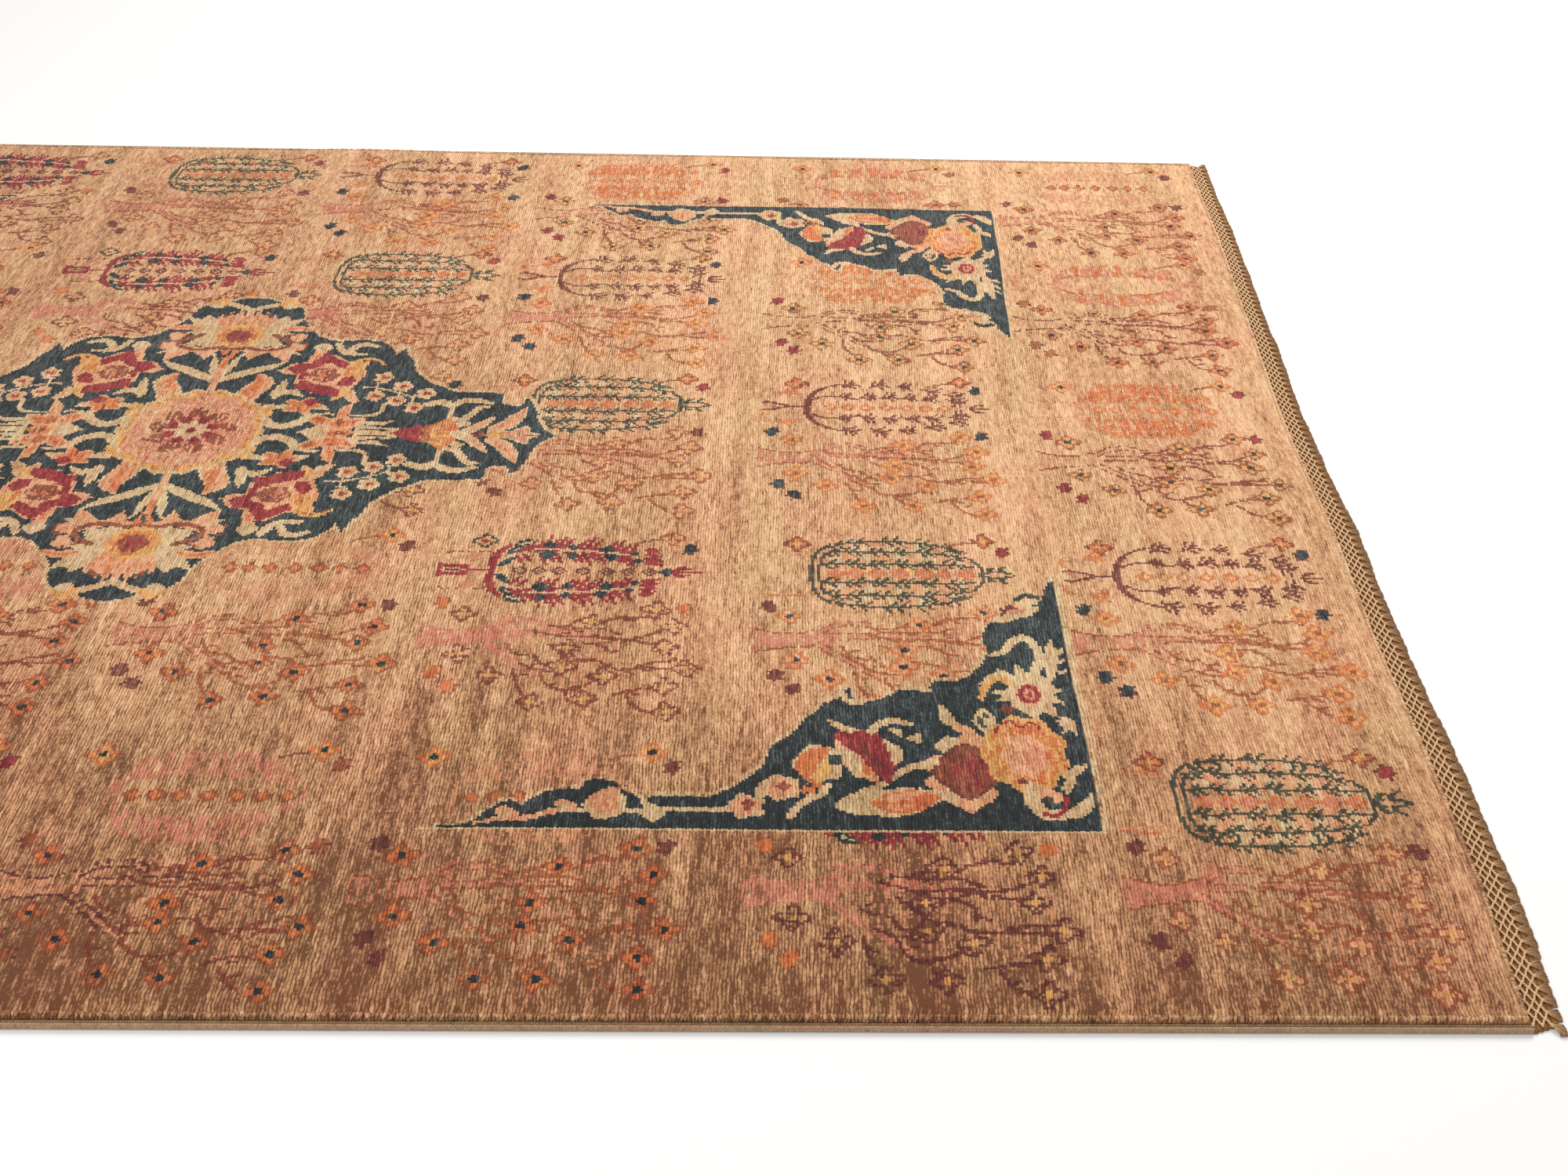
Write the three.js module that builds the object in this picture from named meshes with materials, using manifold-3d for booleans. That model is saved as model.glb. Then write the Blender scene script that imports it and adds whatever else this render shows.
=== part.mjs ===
// Hand-knotted wool garden rug with overcast side cords and a knotted net fringe at each end.
// Millimetres, +Z up. The rug lies on z = 0 with its centre at x = 0, y = 0.
// X is the length, along the warps and towards the fringes; Y is the width, along the knot rows.

import * as THREE from 'three';
import { mergeVertices } from 'three/addons/utils/BufferGeometryUtils.js';
import Module from 'manifold-3d';

const wasm = await Module();
wasm.setup();

// Rug body: pile on its woven foundation
const PILE_LENGTH = 3000;
const PILE_WIDTH = 2000;
const THICKNESS = 9;
const RIM_WIDTH = 12;
const RIM_DROP = 3.5;
const RIM_INSET = 1.5;
const FOOT_INSET = 1;
const SIDE_BULGE = 3;
const CELLS_LONG = 34;
const CELLS_WIDE = 22;
const CELLS_HIGH = 3;

// How far the pile's end runs out of straight, along the right end
const END_EDGE = [
  { y: -1000, out: 0 },
  { y: -800, out: 7 },
  { y: -600, out: 4 },
  { y: -400, out: -2 },
  { y: -200, out: -1 },
  { y: 100, out: -9 },
  { y: 400, out: -4 },
  { y: 700, out: 1 },
  { y: 1000, out: 1 },
];

// Long waves of the top face: rise, length along X and Y, phase in turns
const WAVES = [
  { rise: 0.5, alongX: 640, alongY: 900, phase: 0.1 },
  { rise: 0.35, alongX: 390, alongY: -560, phase: 0.45 },
];
// One low ripple that comes in from the far long side
const RIPPLE = { x: 60, width: 120, rise: 3, fromY: 250, toY: 900 };

// Side cords: two on each long side, a thin one and a thick overcast one
const GAP = 0.3;
const INNER_CORD = 4.2;
const OUTER_CORD = 6;
const CORD_SIDES = 8;
const CORD_STEPS = 18;

// Net fringe: a knotted net with fans of warp ends turned down and under
const KNOT_PITCH = 31;
const KNOTS = 65;
const NET_WIDTH = 15.7;
const NET_BOTTOM = 2;
const NET_TOP = 4;
const NET_END_MARGIN = 2.8;
const MESH_HALF_LENGTH = 12.6;
const MESH_HALF_WIDTH = 4.05;
const MESH_ROWS = [5.35, 10.35];
const FAN_ROOT = 6;
const FAN_SPREAD = 24;
const FAN_REACH = 12;
// Side view of a fan, from its root on the net, over the edge and back along the floor
const FAN_HOOK = [
  { out: -1, z: 3.9 },
  { out: -1, z: 2.1 },
  { out: 9, z: 1.6 },
  { out: 3, z: 1.3 },
  { out: 3, z: 0 },
  { out: 11, z: 0 },
  { out: FAN_REACH, z: 1.4 },
  { out: 8, z: 3.6 },
];
// Share by which the fringe narrows from the middle towards the far corner, and widens towards the near one
const FRINGE_TAPER = 0.11;

const COLOURS = {
  pile: 0xc59a6f,
  innerCord: 0x8f7b56,
  outerCord: 0xa88562,
  fringe: 0xc9a67c,
};

function finish(colour, roughness) {
  return new THREE.MeshStandardMaterial({ color: colour, roughness, metalness: 0 });
}

// Smooth step between the rows of the end table
function endOut(y) {
  const first = END_EDGE[0];
  const last = END_EDGE[END_EDGE.length - 1];
  if (y <= first.y) return first.out;
  if (y >= last.y) return last.out;
  const next = END_EDGE.findIndex((row) => row.y > y);
  const from = END_EDGE[next - 1];
  const to = END_EDGE[next];
  const t = THREE.MathUtils.smoothstep(y, from.y, to.y);
  return THREE.MathUtils.lerp(from.out, to.out, t);
}

// The long sides bow outwards a little between the corners
function sideOut(x) {
  return SIDE_BULGE * Math.cos((Math.PI * x) / PILE_LENGTH);
}

function topHeight(x, y) {
  let z = THICKNESS;
  for (const wave of WAVES) {
    z += wave.rise * Math.sin(2 * Math.PI * (x / wave.alongX + y / wave.alongY + wave.phase));
  }
  const across = Math.exp(-(((x - RIPPLE.x) / RIPPLE.width) ** 2));
  return z + RIPPLE.rise * across * THREE.MathUtils.smoothstep(y, RIPPLE.fromY, RIPPLE.toY);
}

// Grid line positions: even steps, with the last step kept for the rounded rim
function gridPlace(share, half, cells) {
  const lastLine = 1 - 2 / cells;
  if (Math.abs(share) > lastLine + 1e-6) return Math.sign(share) * half;
  return (share / lastLine) * (half - RIM_WIDTH);
}

const CROSS_LINES = Array.from({ length: CELLS_WIDE + 1 }, (_, i) => (
  gridPlace((2 * i) / CELLS_WIDE - 1, PILE_WIDTH / 2, CELLS_WIDE)
));

// The pile's end as built: straight from grid line to grid line, so that the net can lie against it
function endLine(y) {
  const next = CROSS_LINES.findIndex((line) => line > y);
  if (next < 1) return endOut(y);
  const from = CROSS_LINES[next - 1];
  const to = CROSS_LINES[next];
  return THREE.MathUtils.lerp(endOut(from), endOut(to), (y - from) / (to - from));
}

// The right end follows the table and the left end is the same turned half round
function outline(x, y) {
  const endShare = x / (PILE_LENGTH / 2);
  const sideShare = y / (PILE_WIDTH / 2);
  return {
    x: x + endShare * endOut(Math.sign(endShare) * y),
    y: y + sideShare * sideOut(x),
  };
}

function rugBody() {
  const box = new THREE.BoxGeometry(2, 2, 2, CELLS_LONG, CELLS_WIDE, CELLS_HIGH);
  box.deleteAttribute('normal');
  box.deleteAttribute('uv');
  const geometry = mergeVertices(box);
  const place = geometry.attributes.position;
  for (let i = 0; i < place.count; i += 1) {
    const shareX = place.getX(i);
    const shareY = place.getY(i);
    const level = (place.getZ(i) + 1) / 2;
    const flatX = gridPlace(shareX, PILE_LENGTH / 2, CELLS_LONG);
    const flatY = gridPlace(shareY, PILE_WIDTH / 2, CELLS_WIDE);
    const at = outline(flatX, flatY);
    const onEnd = Math.abs(shareX) > 1 - 1e-6;
    const onSide = Math.abs(shareY) > 1 - 1e-6;
    const rim = onEnd || onSide;
    const inset = level < 0.01 ? FOOT_INSET : level > 0.99 ? RIM_INSET : 0;
    if (onEnd) at.x -= Math.sign(shareX) * inset;
    if (onSide) at.y -= Math.sign(shareY) * inset;
    const top = topHeight(at.x, at.y) - (rim ? RIM_DROP : 0);
    place.setXYZ(i, at.x, at.y, level * top);
  }
  return geometry;
}

// A cord beside a long side, with a flat of its section down on the floor
function sideCord(diameter, offset, side) {
  const radius = diameter / 2;
  const flatRadius = radius / Math.cos(Math.PI / CORD_SIDES);
  const cord = new THREE.CylinderGeometry(flatRadius, flatRadius, PILE_LENGTH, CORD_SIDES, CORD_STEPS);
  cord.rotateY(Math.PI / CORD_SIDES);
  cord.rotateZ(-Math.PI / 2);
  cord.deleteAttribute('normal');
  cord.deleteAttribute('uv');
  const geometry = mergeVertices(cord);
  const place = geometry.attributes.position;
  for (let i = 0; i < place.count; i += 1) {
    const x = place.getX(i);
    const y = place.getY(i) - (PILE_WIDTH / 2 + offset + sideOut(x));
    place.setXYZ(i, x, y, place.getZ(i) + radius);
  }
  if (side > 0) geometry.rotateZ(Math.PI);
  return geometry;
}

function fringeScale(y) {
  return 1 - (FRINGE_TAPER * y) / (PILE_WIDTH / 2);
}

function fringePoint(across, y) {
  const x = PILE_LENGTH / 2 + GAP + endLine(y) + across * fringeScale(y);
  return new THREE.Vector2(x, y);
}

function netShape() {
  const halfRun = ((KNOTS - 1) / 2) * KNOT_PITCH + MESH_HALF_LENGTH + NET_END_MARGIN;
  const lines = [-halfRun, ...CROSS_LINES, halfRun];
  const outer = lines.map((y) => fringePoint(NET_WIDTH, y));
  const inner = lines.map((y) => fringePoint(0, y));
  const net = new THREE.Shape([...outer, ...inner.reverse()]);
  MESH_ROWS.forEach((across, row) => {
    const count = KNOTS - row;
    for (let i = 0; i < count; i += 1) {
      const y = (i - (count - 1) / 2) * KNOT_PITCH;
      net.holes.push(new THREE.Path([
        fringePoint(across, y - MESH_HALF_LENGTH),
        fringePoint(across + MESH_HALF_WIDTH, y),
        fringePoint(across, y + MESH_HALF_LENGTH),
        fringePoint(across - MESH_HALF_WIDTH, y),
      ]));
    }
  });
  return net;
}

// One fan of warp ends: out from its knot, down over the edge and back under the net
function fanGeometry(y) {
  const hook = new THREE.Shape(FAN_HOOK.map((row) => new THREE.Vector2(row.out, row.z)));
  const fan = new THREE.ExtrudeGeometry(hook, { depth: 1, bevelEnabled: false });
  fan.translate(0, 0, -0.5);
  fan.rotateX(Math.PI / 2);
  const place = fan.attributes.position;
  for (let i = 0; i < place.count; i += 1) {
    const across = place.getX(i);
    const share = THREE.MathUtils.clamp(across / FAN_REACH, 0, 1);
    const width = THREE.MathUtils.lerp(FAN_ROOT, FAN_SPREAD, share);
    const root = fringePoint(NET_WIDTH, y);
    place.setXYZ(i, root.x + across * fringeScale(y), y + place.getY(i) * width, place.getZ(i));
  }
  return fan;
}

function toSolid(source) {
  const bare = source.clone();
  bare.deleteAttribute('normal');
  bare.deleteAttribute('uv');
  const merged = mergeVertices(bare);
  return new wasm.Manifold(new wasm.Mesh({
    numProp: 3,
    vertProperties: new Float32Array(merged.attributes.position.array),
    triVerts: new Uint32Array(merged.index.array),
  }));
}

function toGeometry(solid) {
  const mesh = solid.getMesh();
  const geometry = new THREE.BufferGeometry();
  geometry.setAttribute('position', new THREE.BufferAttribute(new Float32Array(mesh.vertProperties), 3));
  geometry.setIndex(new THREE.BufferAttribute(new Uint32Array(mesh.triVerts), 1));
  return geometry;
}

function netFringe(side) {
  const net = new THREE.ExtrudeGeometry(netShape(), { depth: NET_TOP - NET_BOTTOM, bevelEnabled: false });
  net.translate(0, 0, NET_BOTTOM);
  let solid = toSolid(net);
  for (let i = 0; i < KNOTS; i += 1) {
    solid = solid.add(toSolid(fanGeometry((i - (KNOTS - 1) / 2) * KNOT_PITCH)));
  }
  const geometry = toGeometry(solid);
  if (side < 0) geometry.rotateZ(Math.PI);
  return geometry;
}

const rug = new THREE.Group();

function addPiece(name, geometry, material) {
  geometry.computeVertexNormals();
  const piece = new THREE.Mesh(geometry, material);
  piece.name = name;
  rug.add(piece);
}

addPiece('rug_body', rugBody(), finish(COLOURS.pile, 0.95));

const innerOffset = GAP + INNER_CORD / 2;
const outerOffset = GAP + INNER_CORD + GAP + OUTER_CORD / 2;
for (const [sideName, side] of [['near', -1], ['far', 1]]) {
  const innerCord = sideCord(INNER_CORD, innerOffset, side);
  const outerCord = sideCord(OUTER_CORD, outerOffset, side);
  addPiece(`side_cord_inner_${sideName}`, innerCord, finish(COLOURS.innerCord, 0.9));
  addPiece(`side_cord_outer_${sideName}`, outerCord, finish(COLOURS.outerCord, 0.9));
}

for (const [endName, side] of [['right', 1], ['left', -1]]) {
  addPiece(`net_fringe_${endName}`, netFringe(side), finish(COLOURS.fringe, 0.9));
}

export default rug;
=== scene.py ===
# Hand-knotted wool garden rug, 3 by 2 metres, lying flat on a pale floor.
# Metres, +Z up. +X runs along the warps to the right-hand fringe.
# +Y runs along the knot rows, away from the viewer.
# Drawing sizes are in millimetres and turned into metres where a mesh is made.
import math

import bpy
import numpy as np
from mathutils import Matrix, Vector


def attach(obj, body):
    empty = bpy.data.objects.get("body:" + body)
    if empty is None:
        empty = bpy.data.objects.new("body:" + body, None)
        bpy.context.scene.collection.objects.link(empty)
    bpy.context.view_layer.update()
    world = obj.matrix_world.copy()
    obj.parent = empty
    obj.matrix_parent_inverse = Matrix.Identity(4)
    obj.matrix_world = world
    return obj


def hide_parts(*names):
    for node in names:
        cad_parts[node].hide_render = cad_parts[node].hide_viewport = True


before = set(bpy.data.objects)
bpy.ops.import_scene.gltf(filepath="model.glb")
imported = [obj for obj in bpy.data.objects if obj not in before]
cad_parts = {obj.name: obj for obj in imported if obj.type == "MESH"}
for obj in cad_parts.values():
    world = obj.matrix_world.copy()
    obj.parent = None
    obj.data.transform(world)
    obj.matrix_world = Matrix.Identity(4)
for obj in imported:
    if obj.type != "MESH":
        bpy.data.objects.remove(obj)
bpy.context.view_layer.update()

# Camera: in front of the right half of the near long side, at chest height, looking down at 35 degrees.
# The picture is a crop of a wider one, so the frame sits a little to the left of the line of sight.
LENS_MM, FILM_MM = 44.88, 36.0
EYE = Vector((0.817, -2.2424, 1.3579))
YAW, PITCH, ROLL = math.radians(1.734), math.radians(34.979), math.radians(1.594)
FRAME_SHIFT = -0.04

ahead = Vector((math.sin(YAW) * math.cos(PITCH), math.cos(YAW) * math.cos(PITCH), -math.sin(PITCH)))
level = Vector((math.cos(YAW), -math.sin(YAW), 0))
over = level.cross(ahead)
right = level * math.cos(ROLL) + over * math.sin(ROLL)
upward = over * math.cos(ROLL) - level * math.sin(ROLL)
camera = bpy.data.objects.new("camera", bpy.data.cameras.new("camera"))
camera.data.lens = LENS_MM
camera.data.sensor_width = FILM_MM
camera.data.shift_x = FRAME_SHIFT
camera.matrix_world = Matrix.Translation(EYE) @ Matrix((right, upward, -ahead)).transposed().to_4x4()
bpy.context.scene.collection.objects.link(camera)
bpy.context.scene.camera = camera

# Rug body: cotton warps and wefts with a row of wool knots tied across them, beaten down and clipped.
# The pile and its foundation are one slab. Each knot row shows as a rib, with a furrow where the wefts lie.
# The ribs wander a little, because hand-spun wool and hand beating are uneven.
MM = 0.001
PILE_LENGTH, PILE_WIDTH, THICKNESS = 3000, 2000, 9
ROWS, KNOTS = 857, 600
ROW_PITCH, KNOT_PITCH = PILE_LENGTH / ROWS, PILE_WIDTH / KNOTS
RIM_WIDTH, RIM_DROP, RIM_INSET, FOOT_INSET = 12, 3.5, 1.5, 1
SIDE_BULGE = 3
# How far the right end stands out of straight, from place to place across the rug
END_EDGE = [
    (-1000, 0), (-800, 7), (-600, 4), (-400, -2), (-200, -1), (100, -9), (400, -4), (700, 1), (1000, 1),
]
# Two faint waves over the whole rug: rise, length along x and along y, phase in turns
WAVES = [(0.5, 640, 900, 0.1), (0.35, 390, -560, 0.45)]
RIPPLE_X, RIPPLE_WIDTH, RIPPLE_RISE, RIPPLE_FROM, RIPPLE_TO = 60, 120, 3, 250, 900
CREST_RISE, FURROW_DEPTH, ROW_UNEVENNESS = 0.22, 0.26, 0.2
BROAD_SWAY, SHORT_SWAY, KNOT_SWAY = 1.1, 0.5, 0.2
rng = np.random.default_rng(11)


def smooth_step(value, low, high):
    """Rises from 0 at low to 1 at high, level at both ends."""
    t = np.clip((value - low) / (high - low), 0, 1)
    return t * t * (3 - 2 * t)


def end_out(y):
    """How far the pile's right end stands out of straight at y."""
    places, outs = np.array(END_EDGE, float).T
    row = np.clip(np.searchsorted(places, y, side="right") - 1, 0, len(places) - 2)
    return outs[row] + (outs[row + 1] - outs[row]) * smooth_step(y, places[row], places[row + 1])


def side_out(x):
    """How far a long side stands out of straight at x."""
    return SIDE_BULGE * np.cos(np.pi * x / PILE_LENGTH)


def top_height(x, y):
    """Height of the pile: its thickness, the one low ripple across the far half, and two faint waves."""
    ripple = np.exp(-(((x - RIPPLE_X) / RIPPLE_WIDTH) ** 2)) * smooth_step(y, RIPPLE_FROM, RIPPLE_TO)
    z = THICKNESS + RIPPLE_RISE * ripple
    for rise, along_x, along_y, phase in WAVES:
        z = z + rise * np.sin(2 * np.pi * (x / along_x + y / along_y + phase))
    return z


def drift(lines, places, step):
    """A field of random values that changes smoothly from line to line."""
    coarse = rng.uniform(-1, 1, (lines // step + 2, places))
    at = np.arange(lines) / step
    low = at.astype(int)
    t = smooth_step(at - low, 0, 1)[:, None]
    return coarse[low] * (1 - t) + coarse[low + 1] * t


# Lines are furrow, crest, furrow, crest and so on. Marks are the knots at which a line may bend.
# The broad sway changes over 24 lines, the short one over 6, and both die out 30 mm from the ends.
lines = 2 * ROWS + 1
marks = np.array([0, 1, 3, 7, *range(15, KNOTS, 15), 593, 597, 599, KNOTS])
flat_x = np.linspace(-PILE_LENGTH / 2, PILE_LENGTH / 2, lines)[:, None]
flat_y = (marks * KNOT_PITCH - PILE_WIDTH / 2)[None, :]
sway = BROAD_SWAY * drift(lines, len(marks), 24) + SHORT_SWAY * drift(lines, len(marks), 6)
sway = sway + rng.uniform(-KNOT_SWAY, KNOT_SWAY, sway.shape)
sway = sway * np.clip((PILE_LENGTH / 2 - abs(flat_x)) / 30, 0, 1)
is_crest = np.arange(lines)[:, None] % 2 == 1
relief = np.where(is_crest, CREST_RISE, -FURROW_DEPTH)
relief = relief + rng.uniform(-ROW_UNEVENNESS, ROW_UNEVENNESS, sway.shape)
share_x, share_y = flat_x / (PILE_LENGTH / 2), flat_y / (PILE_WIDTH / 2)
line_x = flat_x + sway + share_x * (end_out(np.sign(share_x) * flat_y) - RIM_INSET)
line_y = flat_y + share_y * (side_out(flat_x) - RIM_INSET)
rim_gap = np.minimum(PILE_LENGTH / 2 - abs(flat_x), PILE_WIDTH / 2 - abs(flat_y))
rim_fall = RIM_DROP * (1 - np.clip(rim_gap / RIM_WIDTH, 0, 1)) ** 2
line_z = top_height(line_x, line_y) + relief - rim_fall
top_points = np.stack([line_x, line_y, line_z], axis=-1)


def linear(hex_colour):
    """sRGB hex to linear RGBA."""
    parts = [int(hex_colour[i:i + 2], 16) / 255 for i in (1, 3, 5)]
    return (*[c / 12.92 if c <= 0.04045 else ((c + 0.055) / 1.055) ** 2.4 for c in parts], 1.0)


def node(tree, kind, inputs=(), **settings):
    """Adds a shader node. inputs maps a socket to its value, or to the output that feeds it."""
    made = tree.nodes.new("ShaderNode" + kind)
    for key, value in settings.items():
        setattr(made, key, value)
    for socket, value in dict(inputs).items():
        if isinstance(value, bpy.types.NodeSocket):
            tree.links.new(value, made.inputs[socket])
        else:
            made.inputs[socket].default_value = value
    return made


def pile_wool(name, furrow, middle, tip, contrast=1.0, uneven_dye_and_painted_light=1.0):
    """Hand-spun wool, dyed in the hank and cut as pile.

    The clipped tips of each rib are painted light and the furrow beside it painted dark, as painted light and
    shade on the ribs. The yarn changes tone every few centimetres along a row, and there are slow bands of
    uneven dye.
    """
    wool = bpy.data.materials.new(name)
    wool.use_nodes = True
    tree = wool.node_tree
    shader = tree.nodes["Principled BSDF"]
    shader.inputs["Roughness"].default_value = 0.92
    shader.inputs["Specular IOR Level"].default_value = 0.25
    shader.inputs["Sheen Weight"].default_value = 0.12
    shader.inputs["Sheen Roughness"].default_value = 0.5
    knot_place = node(tree, "Attribute", attribute_name="knots").outputs["Vector"]
    row_number, knot_number = node(tree, "SeparateXYZ", {0: knot_place}).outputs[:2]
    place = node(tree, "TexCoord").outputs["Object"]
    along, across = node(tree, "SeparateXYZ", {0: place}).outputs[:2]
    # Each row wanders by up to 3 mm over some 20 mm, and neighbours crowd together or part
    slow = node(tree, "VectorMath", {0: knot_place, 1: (0.36, 0.17, 0)}, operation="MULTIPLY").outputs[0]
    uneven = {"Vector": slow, "Scale": 1.0, "Detail": 3.0, "Roughness": 0.6}
    wander = node(tree, "TexNoise", uneven).outputs["Fac"]
    row = node(tree, "Math", {0: wander, 1: 1.8, 2: row_number}, operation="MULTIPLY_ADD").outputs[0]
    rib = node(tree, "Math", {0: row, 1: 0.5}, operation="PINGPONG").outputs[0]
    whole_row = node(tree, "Math", {0: row}, operation="FLOOR").outputs[0]
    yarn_place = node(tree, "CombineXYZ", {0: whole_row, 1: knot_number}).outputs[0]
    # What varies, where it is read, how often it changes in a knot or in a metre, its detail and roughness.
    # The comments give one patch's size, across the rows by along them.
    noise = {}
    for label, source, often, detail, roughness in (
        ("yarn", yarn_place, (3.7, 0.14, 0), 3.0, 0.6),  # lengths of yarn: a row by 24 mm
        ("tuft", knot_place, (1.3, 0.65, 0), 5.0, 0.75),  # clipped tufts and their twist: 3 by 5 mm
        ("opening", knot_place, (0.9, 0.15, 0), 2.0, 0.6),  # pile parted, painted dark as shade down in the gap: 4 by 22 mm
        ("combing", place, (26.0, 5.0, 1.0), 2.0, 0.5),  # pile combed flat or upright: 40 by 200 mm
        ("band", place, (40.0, 3.2, 1.0), 3.0, 0.6),  # hanks that took the dye unevenly: 25 by 310 mm
        ("dye", place, (8.0, 1.6, 1.0), 2.0, 0.5),  # broad bands of uneven dye: 125 by 620 mm
        ("hue", place, (11.0, 4.0, 1.0), 2.0, 0.5),  # hanks of a slightly different hue: 90 by 250 mm
    ):
        scaled = node(tree, "VectorMath", {0: source, 1: often}, operation="MULTIPLY").outputs[0]
        grain = {"Vector": scaled, "Scale": 1.0, "Detail": detail, "Roughness": roughness}
        noise[label] = node(tree, "TexNoise", grain).outputs["Fac"]
    # The crest of each rib: the ramp below paints its tip light and its furrow dark, as painted light and shade
    parted = node(tree, "Math", {0: noise["opening"], 1: 0.6, 2: rib}, operation="MULTIPLY_ADD").outputs[0]
    crest = node(tree, "MapRange", {0: parted, 1: 0.3, 2: 0.56}, interpolation_type="SMOOTHSTEP").outputs[0]
    rib_light_and_shade = node(tree, "Math", {0: crest, 1: 0.62}, operation="SUBTRACT").outputs[0]
    # Where the pile lies flat, and towards the right-hand end, the ribs' painted light and shade hardly show
    upright = node(tree, "MapRange", {0: noise["combing"], 1: 0.34, 2: 0.54, 3: 0.4, 4: 1.0}).outputs[0]
    calm_end = node(tree, "MapRange", {0: along, 1: 0.8, 2: 1.4, 3: 1.0, 4: 0.62}).outputs[0]
    shown = node(tree, "Math", {0: upright, 1: calm_end}, operation="MULTIPLY").outputs[0]
    rib_light_and_shade = node(tree, "Math", {0: rib_light_and_shade, 1: shown}, operation="MULTIPLY").outputs[0]
    tone = node(tree, "Math", {0: rib_light_and_shade, 1: 0.44 * contrast, 2: 0.5}, operation="MULTIPLY_ADD").outputs[0]
    for label, weight in (
        ("yarn", 1.3 * contrast), ("tuft", 1.3 * contrast), ("band", 0.75 * uneven_dye_and_painted_light), ("dye", 0.4 * uneven_dye_and_painted_light),
    ):
        swing = node(tree, "Math", {0: noise[label], 1: weight, 2: tone}, operation="MULTIPLY_ADD").outputs[0]
        tone = node(tree, "Math", {0: swing, 1: weight / 2}, operation="SUBTRACT").outputs[0]
    slanted = node(tree, "Math", {0: along, 1: 0.07, 2: across}, operation="MULTIPLY_ADD").outputs[0]
    ragged = node(tree, "Math", {0: noise["combing"], 1: 0.6, 2: slanted}, operation="MULTIPLY_ADD")
    from_middle = node(tree, "Math", {0: across}, operation="ABSOLUTE").outputs[0]
    far_right = node(tree, "Math", {0: across, 1: 0.6, 2: along}, operation="MULTIPLY_ADD").outputs[0]
    for source, start, stop, tone_at_start, tone_at_stop in (
        (noise["opening"], 0.3, 0.44, -0.14 * contrast, 0.0),  # painted shade where the pile parts
        (ragged.outputs[0], -0.06, -0.62, 0.0, -0.37 * uneven_dye_and_painted_light),  # darker and browner towards the near long side
        (from_middle, 0.986, 0.996, 0.0, 0.08 * uneven_dye_and_painted_light),  # painted highlight on the last knots of both long sides
        (far_right, 0.3, 1.0, -0.05 * uneven_dye_and_painted_light, 0.09 * uneven_dye_and_painted_light),  # paler towards the far right corner
    ):
        shift = node(tree, "MapRange", {0: source, 1: start, 2: stop, 3: tone_at_start, 4: tone_at_stop})
        tone = node(tree, "Math", {0: tone, 1: shift.outputs[0]}, operation="ADD").outputs[0]
    # The furrow colour is painted shade and the tip colour painted light
    ramp = node(tree, "ValToRGB", {0: tone})
    stops = ramp.color_ramp.elements
    stops[0].position, stops[0].color = 0.08, linear(furrow)
    stops[1].position, stops[1].color = 0.92, linear(tip)
    stops.new(0.5).color = linear(middle)
    # The hanks differ a little in hue, from peach to olive
    tint = node(tree, "ValToRGB", {0: noise["hue"]})
    hues = tint.color_ramp.elements
    hues[0].position, hues[0].color = 0.35, linear("#fff3ea")
    hues[1].position, hues[1].color = 0.65, linear("#f8f8e8")
    both = {0: 1.0, 6: ramp.outputs["Color"], 7: tint.outputs["Color"]}
    dyed = node(tree, "Mix", both, data_type="RGBA", blend_type="MULTIPLY")
    tree.links.new(dyed.outputs[2], shader.inputs["Base Color"])
    relief = node(tree, "Math", {0: crest, 1: 0.7, 2: noise["tuft"]}, operation="MULTIPLY_ADD").outputs[0]
    bump = node(tree, "Bump", {"Height": relief, "Strength": 0.5, "Distance": 0.9 * MM})
    tree.links.new(bump.outputs["Normal"], shader.inputs["Normal"])
    return wool


def woven_mesh(name, points, corners, sizes, material, knot_places=None):
    """A mesh from points in millimetres, the corners of its faces one after another, and each face's size."""
    mesh = bpy.data.meshes.new(name)
    mesh.vertices.add(len(points))
    mesh.vertices.foreach_set("co", (np.asarray(points, np.float64) * MM).astype(np.float32).ravel())
    mesh.loops.add(len(corners))
    mesh.loops.foreach_set("vertex_index", np.asarray(corners, np.int32))
    mesh.polygons.add(len(sizes))
    starts = np.concatenate([[0], np.cumsum(sizes)[:-1]])
    mesh.polygons.foreach_set("loop_start", starts.astype(np.int32))
    mesh.polygons.foreach_set("use_smooth", np.ones(len(sizes), bool))
    if knot_places is not None:
        layer = mesh.attributes.new("knots", "FLOAT_VECTOR", "POINT")
        layer.data.foreach_set("vector", np.asarray(knot_places, np.float32).ravel())
    mesh.materials.append(material)
    mesh.update(calc_edges=True)
    mesh.validate()
    piece = bpy.data.objects.new(name, mesh)
    bpy.context.scene.collection.objects.link(piece)
    return piece


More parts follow.
